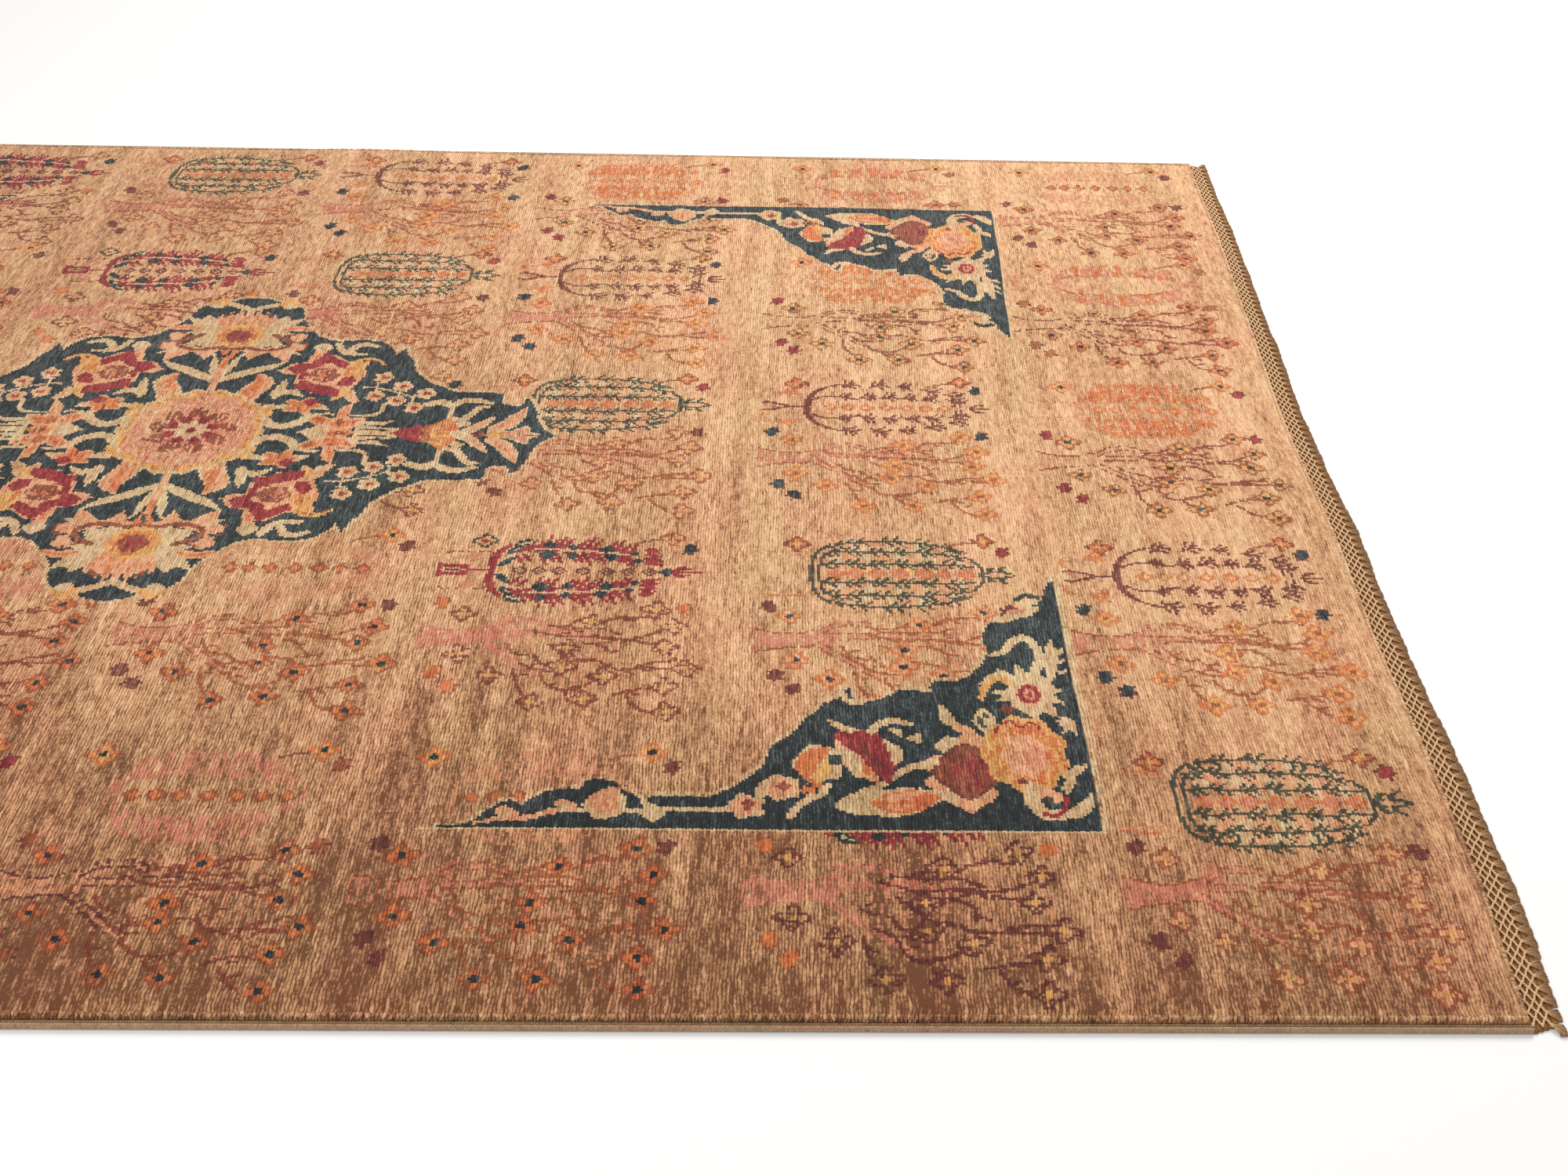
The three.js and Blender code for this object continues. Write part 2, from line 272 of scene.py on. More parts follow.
def slab_of_rows():
    """The closed slab: ribbed top, rounded rim, straight wall and flat foot."""
    stations = len(marks)
    number = np.arange(lines * stations).reshape(lines, stations)
    top = np.stack([number[:-1, :-1], number[1:, :-1], number[1:, 1:], number[:-1, 1:]], axis=-1)
    rim = np.concatenate([number[:, 0], number[-1, 1:], number[-2::-1, -1], number[0, -2:0:-1]])
    line_of, mark_of = rim // stations, rim % stations
    outward = np.stack([
        (line_of == lines - 1).astype(float) - (line_of == 0),
        (mark_of == stations - 1).astype(float) - (mark_of == 0),
        np.zeros(len(rim)),
    ], axis=-1)
    rim_points = top_points.reshape(-1, 3)[rim]
    wall = rim_points + outward * RIM_INSET
    wall[:, 2] *= 0.6
    foot = rim_points + outward * (RIM_INSET - FOOT_INSET)
    foot[:, 2] = 0
    points = np.concatenate([top_points.reshape(-1, 3), wall, foot])
    count = len(rim)
    rings = [rim, number.size + np.arange(count), number.size + count + np.arange(count)]
    walls = [
        np.stack([low, np.roll(low, -1), np.roll(high, -1), high], axis=-1)
        for high, low in zip(rings, rings[1:])
    ]
    quads = np.concatenate([top.reshape(-1, 4), *walls])
    corners = np.concatenate([quads.ravel(), rings[2][::-1]])
    sizes = np.concatenate([np.full(len(quads), 4), [count]])
    row_place = np.repeat(np.arange(lines) / 2, stations)
    knot_place = np.tile(marks, lines)
    places = np.stack([row_place, knot_place, np.zeros(number.size)], axis=-1)
    places = np.concatenate([places, places[rim], places[rim]])
    return points, corners, sizes, places


# Camel wool: furrow colour as painted shade, the ribs' side, and tip colour as painted light
camel_wool = pile_wool("undyed_camel_wool_pile", "#70452b", "#cf9b74", "#f5cea7")
points, corners, sizes, places = slab_of_rows()
rug_body = woven_mesh("rug_pile", points, corners, sizes, camel_wool, places)
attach(rug_body, "root")
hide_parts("rug_body")

# Knot chart: which wool each knot of the pile is tied with, like a weaver's drawing on squared paper.
# Motifs are drawn into it in millimetres, each in its own axes, and later ones are tied over earlier ones.
# A worn or faded motif has only a share of its knots left in its own colour.
WOOLS = [
    "camel", "indigo", "cream", "peach", "rose", "orange", "red",
    "maroon", "teal", "brown", "gold", "blush", "russet",
]
chart = np.zeros((ROWS, KNOTS), np.uint8)
row_at = (np.arange(ROWS) + 0.5) * ROW_PITCH - PILE_LENGTH / 2
knot_at = (np.arange(KNOTS) + 0.5) * KNOT_PITCH - PILE_WIDTH / 2
# Which knots go first as a motif loses knots, from 0 to 1. Neighbours along a row mostly go together.
LOSS_RUN = 4
loss = rng.uniform(0, 1, (ROWS, KNOTS + LOSS_RUN))
loss = sum(loss[:, k:k + KNOTS] for k in range(LOSS_RUN)) / LOSS_RUN
loss = np.argsort(np.argsort(loss, axis=None)).reshape(loss.shape) / loss.size
LINE = 3.7  # the width of a line of single knots


def set_out(x, y, turn=0.0, flip_x=1, flip_y=1, size=1.0, within=None):
    """A motif's own axes inside another's: its origin, its turn in degrees, its mirroring and its size."""
    c, s = math.cos(math.radians(turn)) * size, math.sin(math.radians(turn)) * size
    axes = np.array([[c * flip_x, -s * flip_y, x], [s * flip_x, c * flip_y, y]])
    if within is None:
        return axes
    return np.column_stack([within[:, :2] @ axes[:, :2], within[:, :2] @ axes[:, 2] + within[:, 2]])


def on_rug(place, points):
    """Points of a motif as places on the rug."""
    return np.asarray(points, float) @ place[:, :2].T + place[:, 2]


def chart_window(points, margin):
    """The part of the chart around some points: its slices and the places of its knots."""
    spans = []
    for axis, pitch, size, count in ((0, ROW_PITCH, PILE_LENGTH, ROWS), (1, KNOT_PITCH, PILE_WIDTH, KNOTS)):
        edges = np.array([points[:, axis].min() - margin, points[:, axis].max() + margin])
        first, last = np.floor((edges + size / 2) / pitch).astype(int)
        spans.append(slice(*np.clip([first, last + 1], 0, count)))
    rows, knots = spans
    return rows, knots, row_at[rows][:, None], knot_at[knots][None, :]


def tie(wool, rows, knots, mask, share):
    """Ties the masked knots of a window, or a share of them, in one wool."""
    chosen = mask if share >= 1 else mask & (loss[rows, knots] < share)
    chart[rows, knots][chosen] = WOOLS.index(wool)


def fill(place, wool, outline, share=1.0):
    """Ties every knot inside an outline."""
    points = on_rug(place, outline)
    rows, knots, u, v = chart_window(points, 0)
    inside = np.zeros(np.broadcast(u, v).shape, bool)
    for (u0, v0), (u1, v1) in zip(points, np.roll(points, -1, axis=0)):
        if v0 != v1:
            inside ^= ((v0 > v) != (v1 > v)) & (u < (u1 - u0) * (v - v0) / (v1 - v0) + u0)
    tie(wool, rows, knots, inside, share)


def bend(points, steps=5, closed=False):
    """A smooth line through a few points."""
    p = np.asarray(points, float)
    if len(p) < 3:
        return p
    ends = (p[-1:], p[:2]) if closed else (2 * p[:1] - p[1:2], 2 * p[-1:] - p[-2:-1])
    p = np.concatenate([ends[0], p, ends[1]])
    t = np.linspace(0, 1, steps, endpoint=False)[:, None]
    out = [
        0.5 * (2 * b + (c - a) * t + (2 * a - 5 * b + 4 * c - d) * t ** 2 + (3 * b - a - 3 * c + d) * t ** 3)
        for a, b, c, d in zip(p, p[1:], p[2:], p[3:])
    ]
    return np.concatenate(out if closed else [*out, p[-2:-1]])


def line(place, wool, route, width=LINE, share=1.0, ends=None):
    """Ties the knots along a route. ends gives the share of the width at its two ends, as on a leaf."""
    points = on_rug(place, bend(route))
    t = np.linspace(0, 1, len(points))
    widths = np.full(len(points), float(width))
    if ends is not None:
        widths *= np.interp(t, [0, 0.3, 0.7, 1], [ends[0], 1, 0.9, ends[1]])
    widths = np.maximum(widths, LINE) / 2
    rows, knots, u, v = chart_window(points, widths.max())
    near = np.zeros(np.broadcast(u, v).shape, bool)
    for a, b, width_a, width_b in zip(points, points[1:], widths, widths[1:]):
        d = b - a
        along = np.clip(((u - a[0]) * d[0] + (v - a[1]) * d[1]) / max(d @ d, 1e-9), 0, 1)
        gap = (u - a[0] - along * d[0]) ** 2 + (v - a[1] - along * d[1]) ** 2
        near |= gap <= (width_a + (width_b - width_a) * along) ** 2
    tie(wool, rows, knots, near, share)


def leaf(place, wool, route, width, share=1.0):
    """A line that swells from its foot and ends in a point."""
    line(place, wool, route, width, share, ends=(0.5, 0.15))


def petalled(place, wool, reach, petals=0, depth=0.0, tall=1.0, share=1.0):
    """A round or petalled patch: its reach, how many petals and how deep their notches are."""
    angle = np.linspace(0, 2 * np.pi, max(24, 6 * petals), endpoint=False)
    radius = reach * (1 + depth * np.cos(petals * angle))
    fill(place, wool, np.stack([radius * np.cos(angle), tall * radius * np.sin(angle)], axis=-1), share)


def bloom(place, u, v, wool, reach, petals=0, depth=0.0, tall=1.0, share=1.0):
    """A petalled patch at u, v of a motif."""
    petalled(set_out(u, v, within=place), wool, reach, petals, depth, tall, share)

# Trees of the field: a cypress on a stem above a flowering tree, in rows and columns, growing to the right.
# Each repeat is tied in one of six colourings, which step along the rows. Each has its own kind of cypress.
TREE_COLUMNS = [-1235, -865, -497, -140, 208, 556, 942, 1318]
TREE_ROWS = [885, 515, 122, -285, -700]
CYPRESS_LENGTH, CYPRESS_HALF, CYPRESS_WIDEST = 212, 80, 85
FLORET_PLACES = [30, 53, 78, 107, 136, 162, 188]


def cypress_half(u):
    """Half the cypress's width at u from its rounded foot. It closes slowly from its widest place to its tip."""
    if u < CYPRESS_WIDEST:
        return CYPRESS_HALF * (1 - ((CYPRESS_WIDEST - u) / (CYPRESS_WIDEST + 2)) ** 2.4) ** 0.5
    return CYPRESS_HALF * (1 - ((u - CYPRESS_WIDEST) / (CYPRESS_LENGTH + 1 - CYPRESS_WIDEST)) ** 3)


def florets(place, wool, heart, reach, tall=1.0, share=1.0):
    """A row of small round flowers up the middle of a cypress."""
    for u in FLORET_PLACES:
        spot = set_out(u, 0, within=place)
        petalled(spot, wool, reach, 4, 0.18, tall, share)
        petalled(spot, heart, reach - 4.2, 4, 0.15, tall)
    if wool == "maroon":
        for u in FLORET_PLACES:
            bloom(place, u, 0, wool, 2.4)


def halves(place):
    """Both sides of a motif that is mirrored about its long axis."""
    return [set_out(0, 0, flip_y=side, within=place) for side in (1, -1)]


SPRIG = [
    [(-11, -2), (0, 0), (12, 3)],
    [(-7, 1), (-2, 6), (3, 13)],
    [(1, 1), (7, 5), (12, 11)],
    [(-4, -2), (2, -6), (5, -12)],
    [(4, -1), (10, -4), (14, -9)],
]


def sprig(place, wool, u, v, turn=0, size=1.0, width=LINE):
    """A few thin leaves on one twig."""
    spot = set_out(u, v, turn, size=size, within=place)
    for stroke in SPRIG:
        leaf(spot, wool, stroke, width)


def cypress_in_fans(place):
    """Ragged red leaves like combs on both sides of a cream line, slate blocks in them, a thick red foot."""
    for half in halves(place):
        line(half, "red", [(-4, 2), (-4, 24), (2, 42), (13, 55)], 11, ends=(0.8, 0.5))
        leaf(half, "indigo", [(4, 10), (11, 18), (20, 28)], 10)
        for u, v in ((12, 37), (19, 51)):
            leaf(half, "indigo", [(u, v), (u + 10, v + 10), (u + 24, v + 12)], 12)
            line(half, "cream", [(u + 5, v + 5), (u + 11, v + 9), (u + 18, v + 11)])
        fill(half, "red", [(30, 38), (64, 37), (160, 32), (166, 44), (120, 52), (60, 58), (34, 53)], 0.72)
        for k, u in enumerate(range(28, 172, 9)):
            slim = cypress_half(u) / CYPRESS_HALF
            if u not in (91, 127):
                top = (68, 75, 70, 78)[k % 4] * slim
                leaf(half, "red", [(u - 5, 50 * slim), (u, 57 * slim), (u + 6, top)], 6.5)
            if u not in (46, 82, 136):
                leaf(half, "red", [
                    (u - 6, 38 * slim), (u - 1, 30 * slim), (u + 5, (15, 21, 18)[k % 3] * slim),
                ], 6.5)
        line(half, "cream", [(40, 46), (100, 44), (163, 36)], LINE, 0.9)
        for u, v, reach in (
            (59, 34, 10), (61, 57, 7), (90, 51, 6), (91, 32, 7),
            (132, 47, 8), (138, 31, 8), (166, 39, 5), (172, 23, 6),
        ):
            bloom(half, u, v, "indigo", reach, 4, 0.12, tall=0.9)
        for v in (17, 26, 35, 44):
            leaf(half, "red", [(180, v + 2), (189, v + 3), (206 - 0.2 * v, v - 3)], 8.5)
        line(half, "brown", [(-62, 38), (-36, 40), (-4, 38)], LINE, 0.5)
        sprig(half, "rose", -34, 30, 0, 0.8)
    florets(place, "maroon", "camel", 8.5)
    bloom(place, 209, 0, "indigo", 8.5, 4, 0.15)
    for lean in (-9, 0, 9):
        leaf(place, "red", [(216, lean * 0.3), (225, lean), (236, lean * 0.6)], 7)
    line(place, "red", [(232, 0), (249, 0)], LINE)
    fill(place, "red", [(-70, -14), (-33, -11), (-33, 11), (-70, 14)])
    leaf(place, "camel", [(-64, 0), (-52, 0), (-38, 0)], 11)
    line(place, "teal", [(-58, 0), (-44, 0)], LINE)
    line(place, "red", [(-33, 0), (-4, 0)], 5)
    spot = set_out(-19, 64, within=place)
    for wool, reach in (("teal", 14), ("camel", 9.5), ("red", 3.6)):
        petalled(spot, wool, reach, 4, 0.2)


def cypress_in_thorns(place):
    """A net of single-knot lines full of thin leaves, pale patches between them, and a double-lined foot."""
    line(place, "teal", [(22, 62), (8, 48), (0, 22), (0, -22), (8, -48), (22, -62)], 5)
    line(place, "teal", [(28, 52), (15, 38), (9, 16), (9, -16), (15, -38), (28, -52)], LINE)
    for half in halves(place):
        for k, u in enumerate(range(30, 196, 19)):
            slim = cypress_half(u) / CYPRESS_HALF
            bloom(half, u, 33 * slim + 2, ("cream", "peach")[k % 2], 9, 4, 0.1)
            bloom(half, u + 9, 58 * slim, ("peach", "cream")[k % 2], 9, 4, 0.1)
        for route in (
            [(22, 56), (44, 66), (85, 70), (126, 67), (160, 60), (190, 47)],
            [(14, 44), (40, 47), (70, 45), (100, 48), (130, 46), (160, 43), (196, 34)],
            [(12, 18), (40, 21), (70, 18), (100, 21), (130, 18), (160, 21), (198, 17)],
        ):
            line(half, "teal", route)
            smooth = bend(route, 6)
            for k in range(1, len(smooth) - 1):
                u, v = smooth[k]
                side = (1, -1)[k % 2]
                if k % 6 < 4:
                    leaf(half, "teal", [(u, v), (u + 3, v + 5 * side), (u + 7, v + 9 * side)], LINE)
        line(half, "teal", [(196, 30), (206, 16), (206, 0)], 5)
        line(half, "teal", [(208, 3), (222, 6), (236, 5), (247, 0)], LINE)
        leaf(half, "teal", [(212, 3), (216, 12), (222, 15)], 6)
        leaf(half, "teal", [(226, 5), (231, 14), (236, 17)], 6)
        line(half, "orange", [(-64, 44), (-40, 47), (-4, 45)], LINE, 0.6)
        line(half, "rose", [(-60, 38), (-12, 39)], LINE, 0.35)
    florets(place, "orange", "rose", 10, 0.95)
    bloom(place, 223, 0, "peach", 6)


def cypress_in_stars(place):
    """Twigs of thin aubergine leaves in two rows a side, a crescent at the foot and an onion-shaped root."""
    for half in halves(place):
        line(half, "maroon", [(-4, 1), (-2, 20), (6, 40), (18, 53)], 9, ends=(1, 0.5))
        line(half, "maroon", [(16, 52), (32, 60), (46, 64)], LINE)
        line(half, "maroon", [(4, 20), (20, 29), (44, 29), (68, 22)], LINE)
        for u, v, turn, size in (
            (54, 62, 28, 1.0), (94, 63, 20, 1.1), (132, 60, -8, 0.9), (170, 50, -25, 1.0),
            (202, 37, -20, 1.0), (46, 30, -5, 0.8), (80, 28, 8, 0.9), (110, 30, 15, 1.0),
            (140, 29, 0, 0.8), (168, 27, 10, 0.9), (205, 20, -35, 1.1),
        ):
            sprig(half, "maroon", u, v, turn, size)
        leaf(half, "maroon", [(224, 1), (231, 8), (242, 10)], 6)
        line(half, "maroon", [(-30, 1), (-44, 6), (-58, 11), (-66, 10)], 5)
        line(half, "rose", [(-64, 34), (-40, 38), (-8, 36)], LINE, 0.6)
        sprig(half, "orange", -30, 42, 0, 0.9)
        line(half, "orange", [(-64, 18), (-70, 30), (-62, 42)], LINE, 0.7)
    florets(place, "orange", "camel", 8.8)
    line(place, "maroon", [(-36, 0), (-4, 0)], LINE)
    line(place, "rose", [(-62, 4), (-46, 2)], 7, 0.6)
    line(place, "maroon", [(226, 0), (248, 0)], 5)


def cypress_outline(inset, start=2, stop=208):
    """Points up one side of a cypress, a little inside its edge."""
    return [(u, max(cypress_half(u) - inset, 2)) for u in range(start, stop, 8)]


def cypress_in_speckle(place):
    """Streaks of gold and orange knots all over it, with hardly any outline."""
    for half in halves(place):
        body = [(2, 0), *cypress_outline(3), (208, 0)]
        fill(half, "blush", body, 0.3)
        for k, u in enumerate(range(10, 186, 12)):
            top = cypress_half(u + 4) - 5
            fill(half, "gold", [(u, 20), (u + 7, 20), (u + 7, top), (u, top)], 0.62)
            for v in (28 + 5 * (k % 3), 46 + 6 * (k % 2), 64):
                if v < top:
                    bloom(half, u + 3, v, "orange", 7.5, 4, 0.3, tall=1.2, share=0.7)
        line(half, "rose", [(2, 8), (6, 40), (26, 62)], 7, 0.6)
        line(half, "rose", [(-66, 20), (-40, 22), (-6, 20)], LINE, 0.4)
    florets(place, "orange", "gold", 9)


def cypress_in_dots(place, dots, blobs, share):
    """A band of pink dots all round, with orange blobs in it, and a few dark strokes at the foot."""
    ring = cypress_outline(6)
    hollow = [(u, 0.34 * cypress_half(u) + 2) for u in range(202, 12, -8)]
    for half in halves(place):
        fill(half, "blush", [(2, 0), *ring, (210, 0), (200, 0), *hollow, (14, 0)], 0.5)
        fill(half, dots, [(2, 0), *ring, (210, 0), (200, 0), *hollow, (14, 0)], share)
        if blobs:
            for k, u in enumerate((38, 72, 104, 138, 172)):
                slim = cypress_half(u) / CYPRESS_HALF
                bloom(half, u, 40 * slim, blobs, 8, 3, 0.25, share=0.9)
                petalled(set_out(u + 7 * (k % 2), 60 * slim, within=half), blobs, 9, 4, 0.25, share=0.8)
            line(half, "russet", [(10, 17), (26, 28), (42, 33)], LINE, 0.9)
            line(half, "russet", [(118, 34), (140, 33), (166, 27)], LINE, 0.7)
            bloom(half, 180, 44, "rose", 12, 5, 0.15, share=0.8)
            leaf(half, "rose", [(200, 4), (212, 14), (224, 12)], 7, 0.8)
        line(half, dots, [(-64, 20), (-40, 22), (-6, 20)], LINE, 0.4)
    if blobs:
        leaf(place, "rose", [(202, 0), (216, 2), (230, 0)], 9, 0.8)
        bloom(place, -62, 4, "rose", 9, 4, 0.1, tall=1.3, share=0.6)
        line(place, "rose", [(-52, 2), (0, 0)], LINE, 0.5)
    else:
        florets(place, "russet", "orange", 9, 1.1, 0.9)


# Each colouring: its cypress, trunk, the share of the trunk's knots left, the trunk's edge and the branches,
# the rim, petals and heart of a blossom, the buds, the same three of the top flower, and its bud
LOOK = (
    "cypress", "trunk", "trunk_share", "edge", "branch",
    "rim", "petal", "heart", "bud", "top", "top_bud",
)
COLOURINGS = [
    (cypress_in_fans, "rose", 0.85, "rose", "brown",
     "brown", "camel", "gold", "orange", ("russet", "gold", "camel"), "indigo"),
    (cypress_in_thorns, "rose", 0.75, "russet", "russet",
     "russet", "peach", "gold", "maroon", ("brown", "orange", "gold"), "red"),
    (cypress_in_stars, "rose", 0.7, "russet", "russet",
     "orange", "gold", "russet", "indigo", ("brown", "orange", "gold"), "indigo"),
    (cypress_in_speckle, "blush", 0.4, "brown", "brown",
     "russet", "gold", "indigo", "red", ("orange", "gold", "indigo"), "red"),
    (lambda place: cypress_in_dots(place, "rose", "orange", 0.5), "blush", 0.5, "maroon", "brown",
     "russet", "orange", "indigo", "russet", ("orange", "gold", "indigo"), "russet"),
    (lambda place: cypress_in_dots(place, "blush", None, 0.4), "rose", 0.5, "russet", "russet",
     "russet", "orange", "indigo", "maroon", ("orange", "gold", "indigo"), "maroon"),
]


def blossom(place, look, reach=15.0):
    """A four-petalled flower: a broken line of single knots around pale petals, and a small heart."""
    petalled(place, look["rim"], reach, 4, 0.24, share=0.92)
    petalled(place, look["petal"], reach - 4.2, 4, 0.22, share=0.82)
    for turn in (45, 135, 225, 315):
        line(set_out(0, 0, turn, within=place), look["rim"], [(6, 0), (9, 0)], LINE, 0.8)
    petalled(place, look["heart"], 4.6)


def bud(place, wool):
    """A closed bud: a plump oval with a few knots of a darker wool standing out round it."""
    petalled(place, "russet" if wool == "orange" else "maroon", 9.5, 6, 0.28, 1.15, share=0.8)
    petalled(place, wool, 8.5, 2, -0.15, 1.15)


# The flowering tree, measured from the cypress's foot: a stump, three limbs, and thin branches that sway
TRUNK = [
    (-72, -113), (-46, -122), (-20, -124), (6, -116), (18, -98), (32, -100), (30, -122), (26, -142),
    (2, -148), (-22, -150), (-48, -154), (-70, -160),
]
LIMBS = [
    [(14, -118), (30, -106), (56, -103), (78, -112)],
    [(20, -130), (52, -129), (94, -127), (136, -133)],
    [(6, -144), (30, -166), (54, -188), (78, -206)],
]
CROWN = [
    (10, -92), (60, -88), (150, -84), (216, -96), (236, -160), (214, -240), (130, -240), (70, -224),
    (10, -172),
]
BRANCHES = [
    [(78, -112), (98, -112), (112, -105), (122, -100)],
    [(132, -108), (146, -104), (154, -96), (172, -94), (190, -92), (204, -82)],
    [(62, -126), (100, -134), (136, -131), (166, -136), (190, -132), (216, -118)],
    [(136, -137), (166, -140), (190, -143), (208, -149)],
    [(34, -150), (44, -164), (62, -172)],
    [(80, -148), (98, -160), (110, -168)],
    [(122, -146), (140, -150), (152, -160), (156, -176)],
    [
        (68, -170), (80, -184), (96, -190), (110, -180), (136, -181), (152, -189), (176, -193),
        (198, -184), (224, -181),
    ],
    [(170, -192), (196, -191), (220, -193), (236, -192)],
    [(78, -206), (86, -222), (102, -230), (122, -230), (138, -218), (148, -208)],
    [(106, -232), (116, -246), (126, -252)],
    [(46, -198), (50, -218), (58, -238), (68, -252)],
    [(160, -240), (186, -234), (212, -230)],
    [(176, -242), (190, -264), (212, -274)],
    [(92, -120), (112, -118), (140, -118), (160, -124)],
    [(56, -184), (70, -196), (92, -200)],
]
BLOSSOMS = [
    (-26, -90), (126, -104), (204, -78), (223, -115), (213, -151), (241, -190), (217, -227), (220, -272),
    (148, -206), (126, -253), (70, -255), (106, -154), (-20, -173), (20, -206), (104, -187),
]
BUDS = [(234, -75), (-52, -70), (-44, -203), (-24, -228)]


def flowering_tree(place, look, shake):
    """One tree. shake moves its twigs and blossoms a little, so that no two trees are alike."""
    fill(place, "blush", CROWN, 0.2)
    fill(place, look["trunk"], bend(TRUNK, 3, True), look["trunk_share"])
    for limb, width in zip(LIMBS, (9, 11, 12)):
        line(place, look["trunk"], limb, width, look["trunk_share"], ends=(1.2, 0.5))
        for side in (0.5 * width, -0.5 * width):
            line(place, look["edge"], [(u, v + side) for u, v in limb], LINE, 0.6)
    line(place, look["edge"], TRUNK[:4], LINE, 0.8)
    line(place, look["edge"], TRUNK[8:], LINE, 0.8)
    for branch in BRANCHES:
        route = branch + shake.normal(0, 1.5, (len(branch), 2))
        line(place, look["branch"], route, 4.4, 0.96)
        smooth = bend(route, 4)
        for k in range(3, len(smooth) - 1, 7):
            u, v = smooth[k]
            side = shake.choice([-1, 1])
            line(place, look["branch"], [(u, v), (u + 6, v + 5 * side), (u + 13, v + 6 * side)], LINE, 0.9)
    for u, v in BLOSSOMS:
        at = set_out(u + shake.normal(0, 2), v + shake.normal(0, 2), shake.uniform(-12, 12), within=place)
        blossom(at, look, shake.uniform(13.5, 16.5))
    for u, v in BUDS:
        bud(set_out(u, v, shake.uniform(-35, 15), within=place), look["bud"])


def cypress_top(place, look):
    """The open flower on a bent stalk beside the tip, and the bud next to it."""
    line(place, look["branch"], [(166, 60), (180, 67), (196, 70)], LINE)
    rim, petal, heart = look["top"]
    flower = {"rim": rim, "petal": petal, "heart": heart}
    blossom(set_out(212, 74, within=place), flower, 14)
    bud(set_out(234, 50, -15, within=place), look["top_bud"])
    if look["cypress"] != cypress_in_fans:
        blossom(set_out(-19, 64, within=place), flower)


shake = np.random.default_rng(5)
for row_number, tree_y in enumerate(TREE_ROWS):
    for column_number, tree_x in enumerate(TREE_COLUMNS):
        look = dict(zip(LOOK, COLOURINGS[(column_number - row_number - 2) % len(COLOURINGS)]))
        # In the two rows nearest the viewer the weaver used other wools here and there
        if row_number == 4 and look["rim"] == "brown":
            look["rim"] = look["branch"] = "maroon"
        if row_number == 3 and look["cypress"] == cypress_in_thorns:
            look["rim"], look["heart"] = "orange", "indigo"
        if row_number >= 3 and look["edge"] == "maroon":
            look["cypress"] = lambda place: cypress_in_dots(place, "rose", None, 0.55)
        place = set_out(tree_x - CYPRESS_LENGTH / 2, tree_y)
        look["cypress"](place)
        cypress_top(place, look)
        flowering_tree(place, look, shake)

# Medallion: a lobed lozenge of slate indigo ground in the middle of the field.
# It holds a rosette, a palmette above and below, roses on the diagonals, and lotus, tulip and berry sprays.
# A thin pale line parts it from the field.
MEDALLION_Y = 36
# Corners of the outline's upper right quarter, and how far the stretch up to each of them bulges outwards
MEDALLION_EDGE = [
    (0, 392, 0), (34, 380, 4), (58, 374, 0), (80, 344, 4), (110, 284, -6), (130, 266, -3), (155, 259, -3),
    (206, 260, 4), (222, 250, 2), (238, 222, 2), (249, 243, 0), (256, 218, 0), (270, 178, 4),
    (294, 147, 0), (319, 129, -2), (347, 115, -3), (406, 111, 2), (408, 86, 0), (436, 79, -4),
    (442, 101, 0), (462, 44, 4), (492, 0, -5),
]


def scalloped(edge):
    """An outline of shallow arcs between its corners. The last number of each row is the stretch's bulge."""
    points = [np.array(edge[0][:2], float)]
    for (u0, v0, _), (u1, v1, bulge) in zip(edge, edge[1:]):
        start, stop = np.array([u0, v0], float), np.array([u1, v1], float)
        way = stop - start
        side = np.array([-way[1], way[0]]) / max(np.linalg.norm(way), 1e-9)
        for t in np.linspace(0.2, 1, 5):
            points.append(start + way * t + side * bulge * 4 * t * (1 - t))
    return np.array(points)


quarter = scalloped(MEDALLION_EDGE)
half = np.concatenate([quarter, quarter[-2::-1] * [1, -1]])
whole = np.concatenate([half, half[-2:0:-1] * [-1, 1]])
middle = set_out(0, MEDALLION_Y)
line(middle, "cream", np.concatenate([whole, whole[:1]]), 12, 0.7)
fill(middle, "indigo", whole)


def rimmed_leaf(place, wool, rim, route, width, rim_width):
    """A leaf with a rim of another wool around it."""
    leaf(place, rim, route, width + rim_width)
    leaf(place, wool, route, width)


